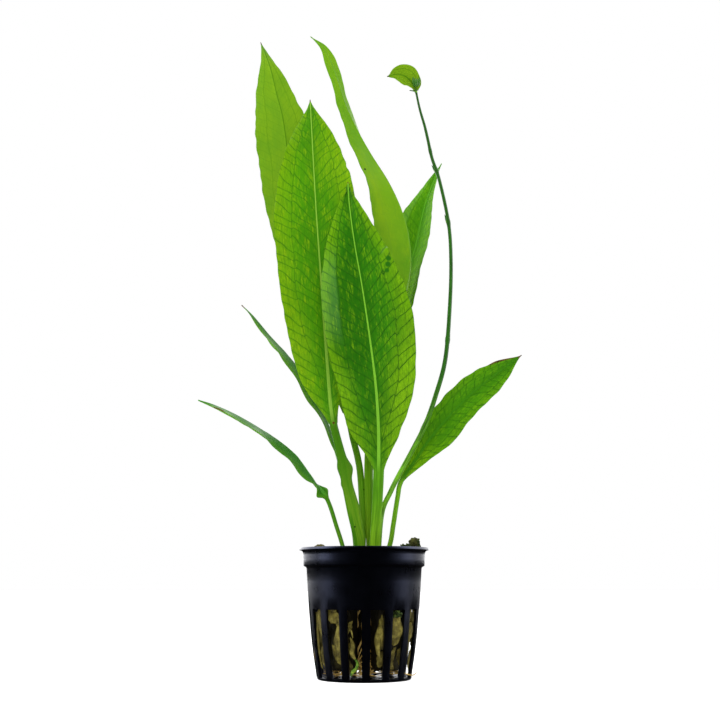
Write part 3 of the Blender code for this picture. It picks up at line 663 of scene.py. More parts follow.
def buildLeaf(name, leaf):
    columns, stemRows, bladeRows = leaf.get("grid", blade["grid"])
    rows = stemRows + bladeRows
    route, lengths = smoothRoute(leaf["stem"] + leaf["blade"])
    stemLength = lengths[(len(leaf["stem"]) - 1) * spanSteps]
    bladeLength = lengths[-1] - stemLength
    ends = 1 - np.cos(np.arange(bladeRows + 1) / bladeRows * math.pi)
    even = np.arange(bladeRows + 1) / bladeRows
    stations = np.concatenate([np.arange(stemRows) / stemRows * stemLength,
                               stemLength + bladeLength * (0.8 * even + 0.1 * ends)])
    bladeShare = (stations - stemLength) / bladeLength
    place, side, face = leafFrame(leaf, stations, lengths, route, bladeShare)

    piece, column, row = gridPiece(name, columns * 2, rows)
    upper = column <= columns
    step = np.where(upper, column / columns, 2 - column / columns)
    share = bladeShare[row]
    spread = ease(share * 8)
    roundAcross, roundDepth = np.cos(math.pi * step), np.sin(math.pi * step)
    flatAcross = np.cos(math.pi * (0.1 + 0.8 * step)) / math.cos(0.1 * math.pi)
    across = roundAcross * (1 - spread) + flatAcross * spread
    rightSide = across > 0
    alongMm = stations[row] - stemLength
    seed = leaf["seed"]

    # outline: the widths, a slightly ragged edge, lobes and nicks, and a stem that clasps the rootstock
    halfStem = valuesAlong(leaf["stemWidths"], stations / stemLength)[row] / 2
    halfDepth = leaf["stemDepth"] / 2
    claspTop, claspDepth, claspShare = blade["clasp"]
    flare = 1 + claspShare * ease((claspTop - place[row][:, 2]) / claspDepth)
    widths = np.where(rightSide, valuesAlong(leaf["right"], share), valuesAlong(leaf["left"], share))
    ragged = 0.20 * ripple(alongMm, 50.0 * rightSide, 7, seed + 5) * spread * np.minimum(widths / 5, 1)
    halfWidth = np.where(share > 0, np.maximum(widths + ragged, blade["tip"]), halfStem * flare)
    halfWidth = np.maximum(halfWidth + lobesOf(leaf, alongMm, across), blade["tip"])
    acrossMm = across * halfWidth

    # how far the blade's middle lifts off the midrib's plane: its fold, waves and pillows
    phase, firstGap, secondGap = leafVeins(leaf, share, across, acrossMm, alongMm, halfWidth)
    cell = np.abs((phase + 0.5) % 1.0 - 0.5) * 2
    pillow = np.sin(cell * math.pi / 2) * (1 - 0.8 * np.exp(-((firstGap / 0.9) ** 2)))
    pillow = pillow * (1 - np.exp(-((acrossMm / 1.4) ** 2))) * np.minimum(halfWidth / 6, 1)
    height, cycles, wavePhase = leaf["wave"]
    sway = np.sin(math.tau * (cycles * share + wavePhase + 0.4 * rightSide))
    crease = np.sqrt(across**2 + 0.006) - math.sqrt(0.006) - leaf.get("settle", 0.0)
    lift = valuesAlong(leaf["fold"], share) * crease * halfWidth
    lift = lift + height * sway * across**2 * np.minimum(halfWidth / 6, 1)
    lift = lift + leaf.get("quilt", blade["quilt"]) * pillow
    lift = lift + blade["swell"] * ripple(acrossMm, alongMm, 21, seed + 6) * across**2
    lift = lift * spread

    # thickness: the midrib stands out below and lies in a groove above
    rib = halfDepth + (blade["half"] - halfDepth) * ease(share * 1.25)
    ribWidth = 0.42 + (halfStem * 0.75 - 0.42) * (1 - ease(share * 1.3))
    midrib = np.exp(-((acrossMm / ribWidth) ** 2))
    flat = blade["margin"] + (blade["half"] - blade["margin"]) * np.sqrt(np.clip(1 - across**2, 0, 1))
    flat = flat * np.minimum(halfWidth / 1.5, 1)
    groovePlace, grooveHalf = blade["groovePlace"]
    groove = np.exp(-(((acrossMm - groovePlace) / grooveHalf) ** 2))
    up = flat + blade["ribUp"] * midrib - blade["groove"] * groove
    down = flat + rib * midrib
    thin = np.sqrt(np.clip(1 - np.abs(across) ** 8, 0, 1))
    ribs = 1 + 0.05 * np.cos(column / columns * math.pi * 7 + 0.4)
    depth = np.where(upper, up, -down) * thin * spread
    depth = depth + np.where(upper, 1, -1) * halfDepth * flare * roundDepth * ribs * (1 - spread)
    shownAcross = acrossMm * (1 + (ribs - 1) * (1 - spread))

    inwards, upwards = 0.0, 0.0
    for at, reach, hand, pull, rise in leaf.get("curls", []):
        near = np.exp(-(((share - at) / reach) ** 2)) * ease((across * hand - 0.55) / 0.45)
        inwards = inwards - hand * pull * near
        upwards = upwards + rise * near * np.sin(near * math.pi * 0.75)
    points = place[row] + side[row] * (shownAcross + inwards)[:, None]
    points = points + face[row] * (lift + upwards + depth)[:, None]
    points[row == 0] = place[0]
    points[row == rows] = place[-1]
    setPlaces(piece, points * mm)

    # what the skin reads
    tipRib, footRib = blade["ribHalf"]
    ribHalf = tipRib + (footRib - tipRib) * (1 - ease(share * 1.1)) ** 2
    whole = np.where(share > 0, share, stations[row] / stemLength - 1)
    scorch = edgeMark(leaf.get("scorch", []), share, across)
    addAttribute(piece, "leafPlace", np.stack([acrossMm, alongMm, np.where(upper, 1.0, -1.0)], axis=1))
    addAttribute(piece, "leafVeins", np.stack([phase, firstGap, secondGap], axis=1))
    addAttribute(piece, "leafShare", np.stack([whole, np.abs(across), np.abs(acrossMm) / ribHalf], axis=1))
    paintedSheen, tone = paintedSheenOf(leaf, share, across, firstGap), toneOf(leaf, share, across)
    addAttribute(piece, "leafMarks", np.stack([scorch, paintedSheen, tone], axis=1))
    closeUp(piece, 0.000004)
    return piece


# The finish of each kind of leaf. mid and deep are the upper side's greens, bright its yellow-green streaks
# and margins, vein and rib its veins; the under colours are the lower side's, and the stem runs from one
# green to another. The numbers say how strongly each marking shows, how rough the skin is, how much light
# comes through it, how deep its relief is and how strongly painted shade darkens one side of a stem.
commonUnder = {"underMid": "#5f8f27", "underDeep": "#4a7a18", "underRib": "#366808"}
skins = {
    "freshGreen": {
        "mid": "#468406", "deep": "#2f6c05", "bright": "#83a10a", "vein": "#265a08", "rib": "#7aa436",
        "underMid": "#6f9c2c", "underDeep": "#58821a", "underRib": "#4a7a08",
        "stemTop": "#37640c", "stemFoot": "#648e1a",
        "veins": 0.80, "streaks": 0.55, "longVeins": 0.50, "outer": 0.35, "rough": 0.42, "through": 0.26,
        "fibres": 0.3, "mesh": 0.16, "relief": 0.35, "sideShade": 0.75,
    },
    "deepGreen": {
        "mid": "#296a05", "deep": "#195203", "bright": "#6f9a08", "vein": "#123f07", "rib": "#69a02a",
        **commonUnder,
        "stemTop": "#4c8412", "stemFoot": "#76a61e",
        "veins": 0.85, "streaks": 0.5, "longVeins": 0.55, "outer": 0.5, "rough": 0.38, "through": 0.20,
        "fibres": 0.3, "mesh": 0.16, "relief": 0.35,
    },
    "shadedGreen": {
        "mid": "#4c8a0a", "deep": "#347206", "bright": "#74a60c", "vein": "#225806", "rib": "#4c8c18",
        **commonUnder,
        "stemTop": "#3f7410", "stemFoot": "#6a981e",
        "veins": 0.50, "streaks": 0.4, "longVeins": 0.40, "outer": 0.30, "rough": 0.42, "through": 0.26,
        "fibres": 0.26, "mesh": 0.14, "relief": 0.3,
    },
    "lowGreen": {
        "mid": "#3b7707", "deep": "#2a6204", "bright": "#6c9c0a", "vein": "#1a4c06", "rib": "#2f6a0c",
        **commonUnder,
        "stemTop": "#5f9418", "stemFoot": "#72a224",
        "veins": 0.75, "streaks": 0.45, "longVeins": 0.40, "outer": 0.30, "rough": 0.40, "through": 0.22,
        "fibres": 0.28, "mesh": 0.16, "relief": 0.3,
    },
    "strapGreen": {
        "mid": "#2a6a12", "deep": "#1c560c", "bright": "#6a9a20", "vein": "#1c4e0a", "rib": "#3c7a24",
        "underMid": "#5a9024", "underDeep": "#44801a", "underRib": "#5a7c50",
        "stemTop": "#3f7410", "stemFoot": "#5a8c1c",
        "veins": 0.15, "streaks": 0.15, "longVeins": 0.30, "outer": 0.45, "rough": 0.40, "through": 0.14,
        "fibres": 0.08, "mesh": 0.0, "relief": 0.08,
    },
    "paleUnderside": {
        "mid": "#4f8a08", "deep": "#3a7606", "bright": "#78a00c", "vein": "#2c620a", "rib": "#7aa436",
        "underMid": "#689014", "underDeep": "#528216", "underRib": "#3f6e06",
        "stemTop": "#44740e", "stemFoot": "#5c8a1a",
        "veins": 0.50, "streaks": 0.35, "longVeins": 0.40, "outer": 0.30, "rough": 0.46, "through": 0.32,
        "fibres": 0.28, "mesh": 0.0, "relief": 0.25,
    },
    "brightUnderside": {
        "mid": "#44800a", "deep": "#306c06", "bright": "#8aa214", "vein": "#2c620a", "rib": "#73a032",
        "underMid": "#669416", "underDeep": "#4f8616", "underRib": "#5c8c22",
        "stemTop": "#4c7c0e", "stemFoot": "#648e14",
        "veins": 0.40, "streaks": 0.35, "longVeins": 0.30, "outer": 0.30, "rough": 0.42, "through": 0.32,
        "fibres": 0.16, "mesh": 0.0, "relief": 0.15,
    },
    "bractGreen": {
        "mid": "#6c9210", "deep": "#5f860e", "bright": "#80a214", "vein": "#3c6a0a", "rib": "#3c6a0a",
        "underMid": "#6c9210", "underDeep": "#5f860e", "underRib": "#3c6a0a",
        "stemTop": "#2c560c", "stemFoot": "#244c0a",
        "veins": 0.35, "streaks": 0.0, "longVeins": 0.55, "outer": 0.10, "rough": 0.46, "through": 0.36,
        "fibres": 0.03, "mesh": 0.0, "relief": 0.04,
    },
}

# What the skin's noises are like: the stretch across, along and through the leaf, patterns per mm, detail.
leafNoises = {
    "cloud": ((1, 0.5, 6), 0.10, 4.0),      # patches about 10 by 20 mm
    "patch": ((1, 0.28, 6), 0.60, 3.0),     # cells about 2 by 6 mm
    "streak": ((1, 0.15, 6), 2.4, 2.0),     # fibres about 0.4 mm wide
    "line": ((1, 0.03, 3), 2.2, 2.0),       # ribs down the stem
}

# The paint on each side, from the bottom layer up: where it goes, how strongly (a number or a look's own),
# and the look's colour.
leafPaint = {
    "upper": ("mid", [
        ("cloudy", 0.55, "deep"), ("inner", 0.45, "deep"), ("outer", "outer", "bright"),
        ("yellowed", 1.0, "bright"), ("deepened", 1.0, "deep"), ("glow", "streaks", "bright"),
        ("fibre", "fibres", "vein"), ("net", "mesh", "vein"), ("halo", 0.26, "deep"),
        ("rungLine", 0.32, "vein"), ("ladderLine", "veins", "vein"), ("firstLine", "longVeins", "vein"),
        ("secondLine", 0.28, "vein"), ("ribShade", 0.45, "deep"), ("midrib", 0.85, "rib")]),
    "lower": ("underMid", [
        ("cloudy", 0.70, "underDeep"), ("yellowed", 0.8, "bright"), ("glow", 0.25, "bright"),
        ("fibre", "fibres", "underDeep"), ("rungLine", 0.16, "underRib"), ("ladderLine", 0.32, "underRib"),
        ("firstLine", "longVeins", "underRib"), ("midrib", 0.85, "underRib")]),
}


def leafSkin(name, look, spots):
    # living leaf, a waxy cuticle over soft tissue: satin in the light, yellow-green where light comes through
    material, tree = newMaterial(name)
    read = {}
    for attribute in ("leafPlace", "leafVeins", "leafShare", "leafMarks"):
        read[attribute] = addNode(tree, "Attribute", attribute_name=attribute).outputs["Vector"]
    place = read["leafPlace"]
    across, _, facing = addNode(tree, "SeparateXYZ", {0: place}).outputs
    phase, firstGap, secondGap = addNode(tree, "SeparateXYZ", {0: read["leafVeins"]}).outputs
    whole, outward, ribGap = addNode(tree, "SeparateXYZ", {0: read["leafShare"]}).outputs
    scorch, paintedSheen, tone = addNode(tree, "SeparateXYZ", {0: read["leafMarks"]}).outputs

    noises = {}
    for pattern, (stretch, scale, detail) in leafNoises.items():
        drawn = addNode(tree, "VectorMath", {0: place, 1: stretch}, operation="MULTIPLY").outputs[0]
        noises[pattern] = addNode(tree, "TexNoise", {"Vector": drawn, "Scale": scale, "Detail": detail,
                                                     "Roughness": 0.6}).outputs["Fac"]
    drawn = addNode(tree, "VectorMath", {0: place, 1: (1, 0.3, 6)}, operation="MULTIPLY").outputs[0]
    cells = addNode(tree, "TexVoronoi", {"Vector": drawn, "Scale": 1.1, "Randomness": 0.9},
                    feature="DISTANCE_TO_EDGE").outputs["Distance"]   # the finest veins, about 1 by 3 mm
    ladderGap = addNode(tree, "Math", {0: phase, 1: 0.5}, operation="PINGPONG").outputs[0]
    firstAway, secondAway, midAway = [addNode(tree, "Math", {0: gap}, operation="ABSOLUTE").outputs[0]
                                      for gap in (firstGap, secondGap, across)]

    ranges = {
        # mask: what it reads, the two values it runs between, and the mask at each
        "cloudy": (noises["cloud"], 0.35, 0.68, 0, 1),
        "patchy": (noises["patch"], 0.42, 0.66, 0, 1),
        "broken": (noises["patch"], 0.30, 0.55, 0.45, 1),
        "streaky": (noises["streak"], 0.40, 0.70, 0, 1),
        "fibre": (noises["streak"], 0.32, 0.52, 1, 0),
        "net": (cells, 0.0, 0.09, 1, 0),
        "ladder": (ladderGap, 0.015, 0.065, 1, 0),
        "rung": (ladderGap, 0.45, 0.49, 0, 1),
        "halo": (ladderGap, 0.0, 0.25, 1, 0),
        "firstLine": (firstAway, 0.06, 0.32, 1, 0),
        "secondLine": (secondAway, 0.05, 0.24, 1, 0),
        "inner": (outward, 0.0, 0.65, 1, 0),
        "outer": (outward, 0.35, 1.0, 0, 1),
        "yellowed": (tone, 0.0, 1.0, 0, 0.8),
        "deepened": (tone, 0.0, -0.7, 0, 0.8),
        "ribShade": (midAway, 0.3, 2.2, 1, 0),
        "midrib": (ribGap, 0.85, 1.35, 1, 0),
        "upperSide": (facing, -0.2, 0.2, 0, 1),
        "stemRise": (whole, -0.9, -0.1, 0, 1),
        "bladeStart": (whole, -0.02, 0.05, 0, 1),
        "stemLine": (noises["line"], 0.35, 0.65, 0, 0.5),
        "stemSide": (across, -0.7, -1.2, 0, 1),
        "stemLow": (whole, -0.66, -0.52, 1, 0),
    }
    masks = {}
    for mask, (value, low, high, start, end) in ranges.items():
        masks[mask] = addNode(tree, "MapRange", {"Value": value, 1: low, 2: high, 3: start, 4: end},
                              interpolation_type="SMOOTHSTEP").outputs[0]
    for mask, first, second in [("glow", "patchy", "streaky"), ("ladderLine", "ladder", "broken"),
                                ("rungLine", "rung", "patchy"), ("stemShade", "stemSide", "stemLow")]:
        masks[mask] = addNode(tree, "Math", {0: masks[first], 1: masks[second]},
                              operation="MULTIPLY").outputs[0]

    painted = {}
    for side, (base, layers) in leafPaint.items():
        colour = linear(look[base])
        for mask, amount, paint in layers:
            share = addNode(tree, "Math", {0: masks[mask], 1: look.get(amount, amount)}, operation="MULTIPLY")
            colour = addNode(tree, "Mix", {0: share.outputs[0], 6: colour, 7: linear(look[paint])},
                             data_type="RGBA").outputs[2]
        painted[side] = colour
    # painted sheen: the strip is mixed towards a pale grey-green reflection colour
    paintedSheenShare = addNode(tree, "Math", {0: paintedSheen, 1: 0.10}, operation="MULTIPLY").outputs[0]
    browned = addNode(tree, "Math", {0: noises["patch"], 1: 0.5, 2: scorch}, operation="MULTIPLY_ADD")
    dry = addNode(tree, "MapRange", {"Value": browned.outputs[0], 1: 0.55, 2: 0.85},
                  interpolation_type="SMOOTHSTEP").outputs[0]
    brown = addNode(tree, "Mix", {0: masks["streaky"], 6: linear("#54421c"), 7: linear("#2e2010")},
                    data_type="RGBA").outputs[2]
    stem = linear(look["stemFoot"])
    stemLayers = [(masks["stemRise"], "stemTop"), (masks["stemLine"], "deep")]
    # painted shade: the lower stem's left side is darkened where its side face turns from the light
    if "sideShade" in look:
        shade = addNode(tree, "Math", {0: masks["stemShade"], 1: look["sideShade"]}, operation="MULTIPLY")
        stemLayers.append((shade.outputs[0], "deep"))
    for mask, paint in stemLayers:
        stem = addNode(tree, "Mix", {0: mask, 6: stem, 7: linear(look[paint])}, data_type="RGBA").outputs[2]

    colour = painted["lower"]
    for mask, paint in [(masks["upperSide"], painted["upper"]), (paintedSheenShare, linear("#74a66a")), (dry, brown)]:
        colour = addNode(tree, "Mix", {0: mask, 6: colour, 7: paint}, data_type="RGBA").outputs[2]
    colour = addNode(tree, "Mix", {0: masks["bladeStart"], 6: stem, 7: colour}, data_type="RGBA").outputs[2]
    flatPlace = addNode(tree, "VectorMath", {0: place, 1: (1, 1, 0)}, operation="MULTIPLY").outputs[0]
    # spots paint dark dots and brown marks, and also a painted shadow line and painted shade on a fold
    for alongAt, acrossAt, radius, paint in spots:
        gap = addNode(tree, "VectorMath", {0: flatPlace, 1: (acrossAt, alongAt, 0)}, operation="DISTANCE")
        near = addNode(tree, "MapRange", {"Value": gap.outputs["Value"], 1: radius * 0.6, 2: radius,
                                          3: 1.0, 4: 0.0})
        colour = addNode(tree, "Mix", {0: near.outputs[0], 6: colour, 7: linear(paint)},
                         data_type="RGBA").outputs[2]

    relief = noises["streak"]
    for mask, depth in [("net", -0.4), ("ladderLine", -1.0), ("rungLine", -0.4), ("firstLine", -0.8)]:
        relief = addNode(tree, "Math", {0: masks[mask], 1: depth, 2: relief},
                         operation="MULTIPLY_ADD").outputs[0]
    bump = addNode(tree, "Bump", {"Strength": look["relief"], "Distance": 0.0001,
                                  "Height": relief}).outputs[0]
    rough = addNode(tree, "MapRange", {"Value": noises["patch"], 1: 0.3, 2: 0.7, 3: look["rough"] - 0.05,
                                       4: look["rough"] + 0.07})
    rougher = addNode(tree, "Math", {0: dry, 1: 0.3, 2: rough.outputs[0]}, operation="MULTIPLY_ADD")
    cuticle = addNode(tree, "BsdfPrincipled", {
        "Base Color": colour, "Roughness": rougher.outputs[0], "Normal": bump, "IOR": 1.45,
        "Specular IOR Level": 0.16, "Specular Tint": linear("#dcf0a0")})
    lit = addNode(tree, "Mix", {0: 0.45, 6: colour, 7: linear("#b7d23a")}, data_type="RGBA",
                  blend_type="MULTIPLY")
    through = addNode(tree, "BsdfTranslucent", {"Color": lit.outputs[2], "Normal": bump})
    body = addNode(tree, "MixShader", {0: look["through"], 1: cuticle.outputs[0], 2: through.outputs[0]})
    setSurface(tree, body.outputs[0])
    return material


for leafName, leaf in leaves.items():
    skin = leafSkin(leafName + "Skin", skins[leaf["skin"]], leaf.get("spots", []))
    finishPiece(buildLeaf(leafName, leaf), [leaf["node"]], skin)
    print(leafName, "grown")


stalk = {
    # routes, radii and lengths in mm; the route runs from the rootstock up to the buds
    "route": [(6.0, -0.8, 41), (6.2, -0.8, 54), (7.6, -0.8, 68), (11, -1, 76), (14.4, -1.4, 82.7),
              (21, -2, 94.7), (26, -2.6, 104.6), (30.4, -2.8, 116.6), (34.9, -2.6, 132.8),
              (37.2, -2.4, 155.8), (38.1, -2.2, 176.4), (37.3, -2, 194.3), (33.6, -2, 214),
              (30.4, -2, 224.6), (28.6, -2, 233.6), (27.3, -2, 239.8), (25.3, -2, 247.5),
              (24.0, -2, 254.2), (23.6, -1.8, 257.6)],
    "radii": [1.0, 1.05, 1.05, 1.0, 0.9, 0.8, 0.75, 0.7, 0.48],
    # joints (share of the length, extra radius), and the sheath above some (share, heading, length)
    "nodes": [(0.30, 0.15), (0.475, 0.20), (0.712, 0.20), (0.822, 0.20), (0.865, 0.12)],
    "sheaths": [(0.475, 40, 3.2), (0.712, 200, 3.6), (0.822, 150, 3.0)],
    "nodeSpread": 0.006,
    "stub": [(24.2, -2.2, 256.0), (22.6, -2.5, 256.4), (20.6, -2.6, 256.7)],
    "look": {"low": "#66a018", "base": "#1c4f06", "top": "#184108", "line": "#133406"},
}

buds = {
    # centre, half height and tilt in degrees of each scale that wraps the buds
    "places": [((22.6, -3.6, 260.3), 2.3, -10), ((24.7, -3.8, 260.2), 2.3, 12),
               ((23.6, -5.3, 259.4), 2.0, 0)],
    "slimness": 0.34,
    "look": {"low": "#2c5c10", "base": "#2c5c10", "top": "#3c6c12", "line": "#14320a"},
}


def stalkSkin(name, look):
    # a firm green stem, waxy and finely ribbed: soft highlights run down it between darker lines
    material, tree = newMaterial(name)
    place = addNode(tree, "Attribute", attribute_name="strandPlace").outputs["Vector"]
    share = addNode(tree, "SeparateXYZ", {0: place}).outputs[0]
    patterns = []
    for stretch, scale in [((0.0, 0.06, 1.6), 1.6), ((0.0, 0.5, 0.6), 0.7)]:
        drawn = addNode(tree, "VectorMath", {0: place, 1: stretch}, operation="MULTIPLY").outputs[0]
        patterns.append(addNode(tree, "TexNoise", {"Vector": drawn, "Scale": scale, "Detail": 3.0}))
    ribs, cloud = [pattern.outputs["Fac"] for pattern in patterns]
    low = addNode(tree, "MapRange", {"Value": share, 1: 0.12, 2: 0.40, 3: 1.0, 4: 0.0})
    high = addNode(tree, "MapRange", {"Value": share, 1: 0.60, 2: 0.95, 3: 0.0, 4: 1.0})
    lines = addNode(tree, "MapRange", {"Value": ribs, 1: 0.42, 2: 0.62, 3: 0.0, 4: 0.75})
    spots = addNode(tree, "MapRange", {"Value": cloud, 1: 0.45, 2: 0.75, 3: 0.0, 4: 0.5})
    colour = linear(look["base"])
    for mask, paint in [(low, "low"), (high, "top"), (spots, "top"), (lines, "line")]:
        colour = addNode(tree, "Mix", {0: mask.outputs[0], 6: colour, 7: linear(look[paint])},
                         data_type="RGBA").outputs[2]
    bump = addNode(tree, "Bump", {"Strength": 0.2, "Distance": 0.0001, "Height": ribs})
    wax = addNode(tree, "BsdfPrincipled", {"Base Color": colour, "Roughness": 0.44, "IOR": 1.45,
                                           "Normal": bump.outputs[0], "Specular IOR Level": 0.2})
    setSurface(tree, wax.outputs[0])
    return material


def buildStalk():
    share = np.linspace(0, 1, 401)
    radii = valuesAlong(stalk["radii"], share)
    for at, extra in stalk["nodes"]:
        radii = radii + extra * np.exp(-(((share - at) / stalk["nodeSpread"]) ** 2))
    piece = tube("flowerStalk", stalk["route"], radii, sides=20, rows=400, ridges=5, ridgeShare=0.05)
    route, lengths = smoothRoute(stalk["route"])
    parts = [tube("stalkStub", stalk["stub"], [0.30, 0.26, 0.20], sides=10, rows=24)]
    for at, heading, length in stalk["sheaths"]:
        # a dry pointed sheath hugs the stem above each joint
        steps = at * lengths[-1] + np.array([-0.4, length * 0.5, length])
        points = np.stack([np.interp(steps, lengths, route[:, i]) for i in range(3)], axis=1)
        out = np.array([math.cos(math.radians(heading)), math.sin(math.radians(heading)), 0.0])
        points += out * np.array([[0.45], [0.85], [1.25]])
        parts.append(tube("stalkSheath", [tuple(point) for point in points], [0.62, 0.5, 0.08], sides=12,
                          rows=24, flatten=0.5))
    joinInto(piece, parts)
    return piece


def buildBud(index, bud):
    # narrow pointed scales closed round a bud
    centre, half, tilt = bud
    piece = addShape(f"bud{index + 1}", bpy.ops.mesh.primitive_uv_sphere_add, segments=32, ring_count=24,
                     radius=1)
    points = places(piece)
    rise = points[:, 2]
    angle = np.arctan2(points[:, 1], points[:, 0])
    slim = buds["slimness"] * (1 - 0.4 * np.maximum(rise, 0)) * (1 + 0.10 * np.cos(3 * angle + 2 * rise))
    shape = np.stack([points[:, 0] * slim, points[:, 1] * slim, rise], axis=1) * half
    turn = math.radians(tilt)
    x = shape[:, 0] * math.cos(turn) + shape[:, 2] * math.sin(turn)
    z = shape[:, 2] * math.cos(turn) - shape[:, 0] * math.sin(turn)
    setPlaces(piece, (np.stack([x, shape[:, 1], z], axis=1) + np.array(centre)) * mm)
    addAttribute(piece, "strandPlace", np.stack([0.6 + 0 * rise, rise * half, angle], axis=1))
    closeUp(piece)
    return piece


finishPiece(buildStalk(), ["flower_stalk"], stalkSkin("stalkSkin", stalk["look"]))
budSkin = stalkSkin("budScale", buds["look"])
for index, bud in enumerate(buds["places"]):
    finishPiece(buildBud(index, bud), [f"bud_{index + 1}"], budSkin)
print("flower stalk and buds done")


# The rootstock and the roots under it, in mm.
crown = {"top": 43.2, "foot": 34.0, "radius": 7.6, "roots": 6, "rootRadius": 0.65, "sideRoots": 12}

# What the matted matter looks like: its colours from the deepest, the size of its mottling in mm, and how
# rough it feels; the wad's depth is how far in from the wall, in m, its painted shade deepens.
mats = {
    "corkyRootstock": {"colours": ("#2a2110", "#4d4220", "#7a7238"), "tint": "#6c6a3a", "size": 3.0,
                       "rough": 0.75, "bump": 0.0004},
    "youngRoot": {"colours": ("#6d5a30", "#9a8550", "#c2b07a"), "tint": "#b9a468", "size": 2.0,
                  "rough": 0.60, "bump": 0.0001},
    "tornRockWool": {"colours": ("#312c0d", "#5c5523", "#8a8240"), "tint": "#7c7746", "size": 5.0,
                     "rough": 0.85, "bump": 0.0003, "depth": 0.0034},
    "pulledShred": {"colours": ("#322d0e", "#575020", "#80783a"), "tint": "#7c7746", "size": 3.0,
                    "rough": 0.80, "bump": 0.0002},
    "dampClump": {"colours": ("#1a1a07", "#343612", "#5c5e2a"), "tint": "#585a34", "size": 2.0,
                  "rough": 0.85, "bump": 0.0003},
    "mossyCrumb": {"colours": ("#141c08", "#2c3c12", "#5a6a2c"), "tint": "#3c4a1e", "size": 1.6,
                   "rough": 0.90, "bump": 0.0003},
    "decayingShred": {"colours": ("#2f4a0c", "#4a6a14", "#8f9a2a"), "tint": "#5a7a1c", "size": 2.5,
                      "rough": 0.55, "bump": 0.0001},
}


potInside = (0.11, 0.0188)      # the pot's inner side: its slope, and its radius at the floor in m


def matSkin(name):
    # fibrous matter, mottled and matt: drawn-out fibres over soft clouds of colour, felted all over
    look = mats[name]
    material, tree = newMaterial(name)
    where = addNode(tree, "TexCoord").outputs["Object"]
    cloud = addNode(tree, "TexNoise", {"Vector": where, "Scale": 1000 / look["size"], "Detail": 6.0,
                                       "Roughness": 0.65}).outputs["Fac"]
    drawn = addNode(tree, "VectorMath", {0: where, 1: (1.0, 1.0, 0.35)}, operation="MULTIPLY").outputs[0]
    fine = addNode(tree, "TexNoise", {"Vector": drawn, "Scale": 6000 / look["size"], "Detail": 4.0,
                                      "Roughness": 0.7}).outputs["Fac"]
    deep, mid, pale = look["colours"]
    colour = linear(mid)
    for low, high, start, end, paint in [(0.32, 0.48, 1, 0, deep), (0.50, 0.66, 0, 1, pale)]:
        mask = addNode(tree, "MapRange", {"Value": cloud, 1: low, 2: high, 3: start, 4: end})
        colour = addNode(tree, "Mix", {0: mask.outputs[0], 6: colour, 7: linear(paint)},
                         data_type="RGBA").outputs[2]
    tone = addNode(tree, "Mix", {0: fine, 6: colour, 7: linear(look["tint"])}, data_type="RGBA",
                   blend_type="OVERLAY").outputs[2]
    if "depth" in look:
        # painted shade: darker further in from the wall, where the slots lie in shadow, and all across the
        # front
        slope, foot = potInside
        x, y, z = addNode(tree, "SeparateXYZ", {0: where}).outputs
        flat = addNode(tree, "CombineXYZ", {0: x, 1: y}).outputs[0]
        reach = addNode(tree, "VectorMath", {0: flat}, operation="LENGTH").outputs["Value"]
        wall = addNode(tree, "Math", {0: z, 1: slope, 2: foot}, operation="MULTIPLY_ADD").outputs[0]
        inwards = addNode(tree, "Math", {0: wall, 1: reach}, operation="SUBTRACT").outputs[0]
        front = addNode(tree, "Math", {0: y, 1: reach}, operation="DIVIDE").outputs[0]
        for value, low, high, most in [(inwards, 0.0006, look["depth"], 0.9), (front, -0.84, -0.93, 0.8)]:
            shade = addNode(tree, "MapRange", {"Value": value, 1: low, 2: high, 3: 0.0, 4: most})
            tone = addNode(tree, "Mix", {0: shade.outputs[0], 6: tone, 7: linear("#0c0902")},
                           data_type="RGBA").outputs[2]
    bump = addNode(tree, "Bump", {"Strength": 0.8, "Distance": look["bump"], "Height": fine})
    felt = addNode(tree, "BsdfPrincipled", {"Base Color": tone, "Roughness": look["rough"],
                                            "Normal": bump.outputs[0], "Specular IOR Level": 0.25})
    setSurface(tree, felt.outputs[0])
    return material


def buildCrown():
    piece = addShape("rootstock", bpy.ops.mesh.primitive_uv_sphere_add, segments=64, ring_count=40, radius=1)
    points = places(piece)
    middle = (crown["top"] + crown["foot"]) / 2
    half = (crown["top"] - crown["foot"]) / 2
    angle = np.arctan2(points[:, 1], points[:, 0])
    scar = 1 + 0.05 * np.abs(np.sin(angle * 4 + points[:, 2] * 5))   # rings of scars where old leaves sat
    scar = scar + 0.03 * ripple(angle * 3, points[:, 2] * 4, 2, 5)
    reach = crown["radius"] * (0.98 - 0.25 * np.clip(-points[:, 2], 0, 1)) * scar
    full = np.sign(points[:, 2]) * np.abs(points[:, 2]) ** 0.8
    shape = np.stack([points[:, 0] * reach, points[:, 1] * reach, middle + full * half], axis=1)
    setPlaces(piece, shape * mm)
    closeUp(piece)
    return piece


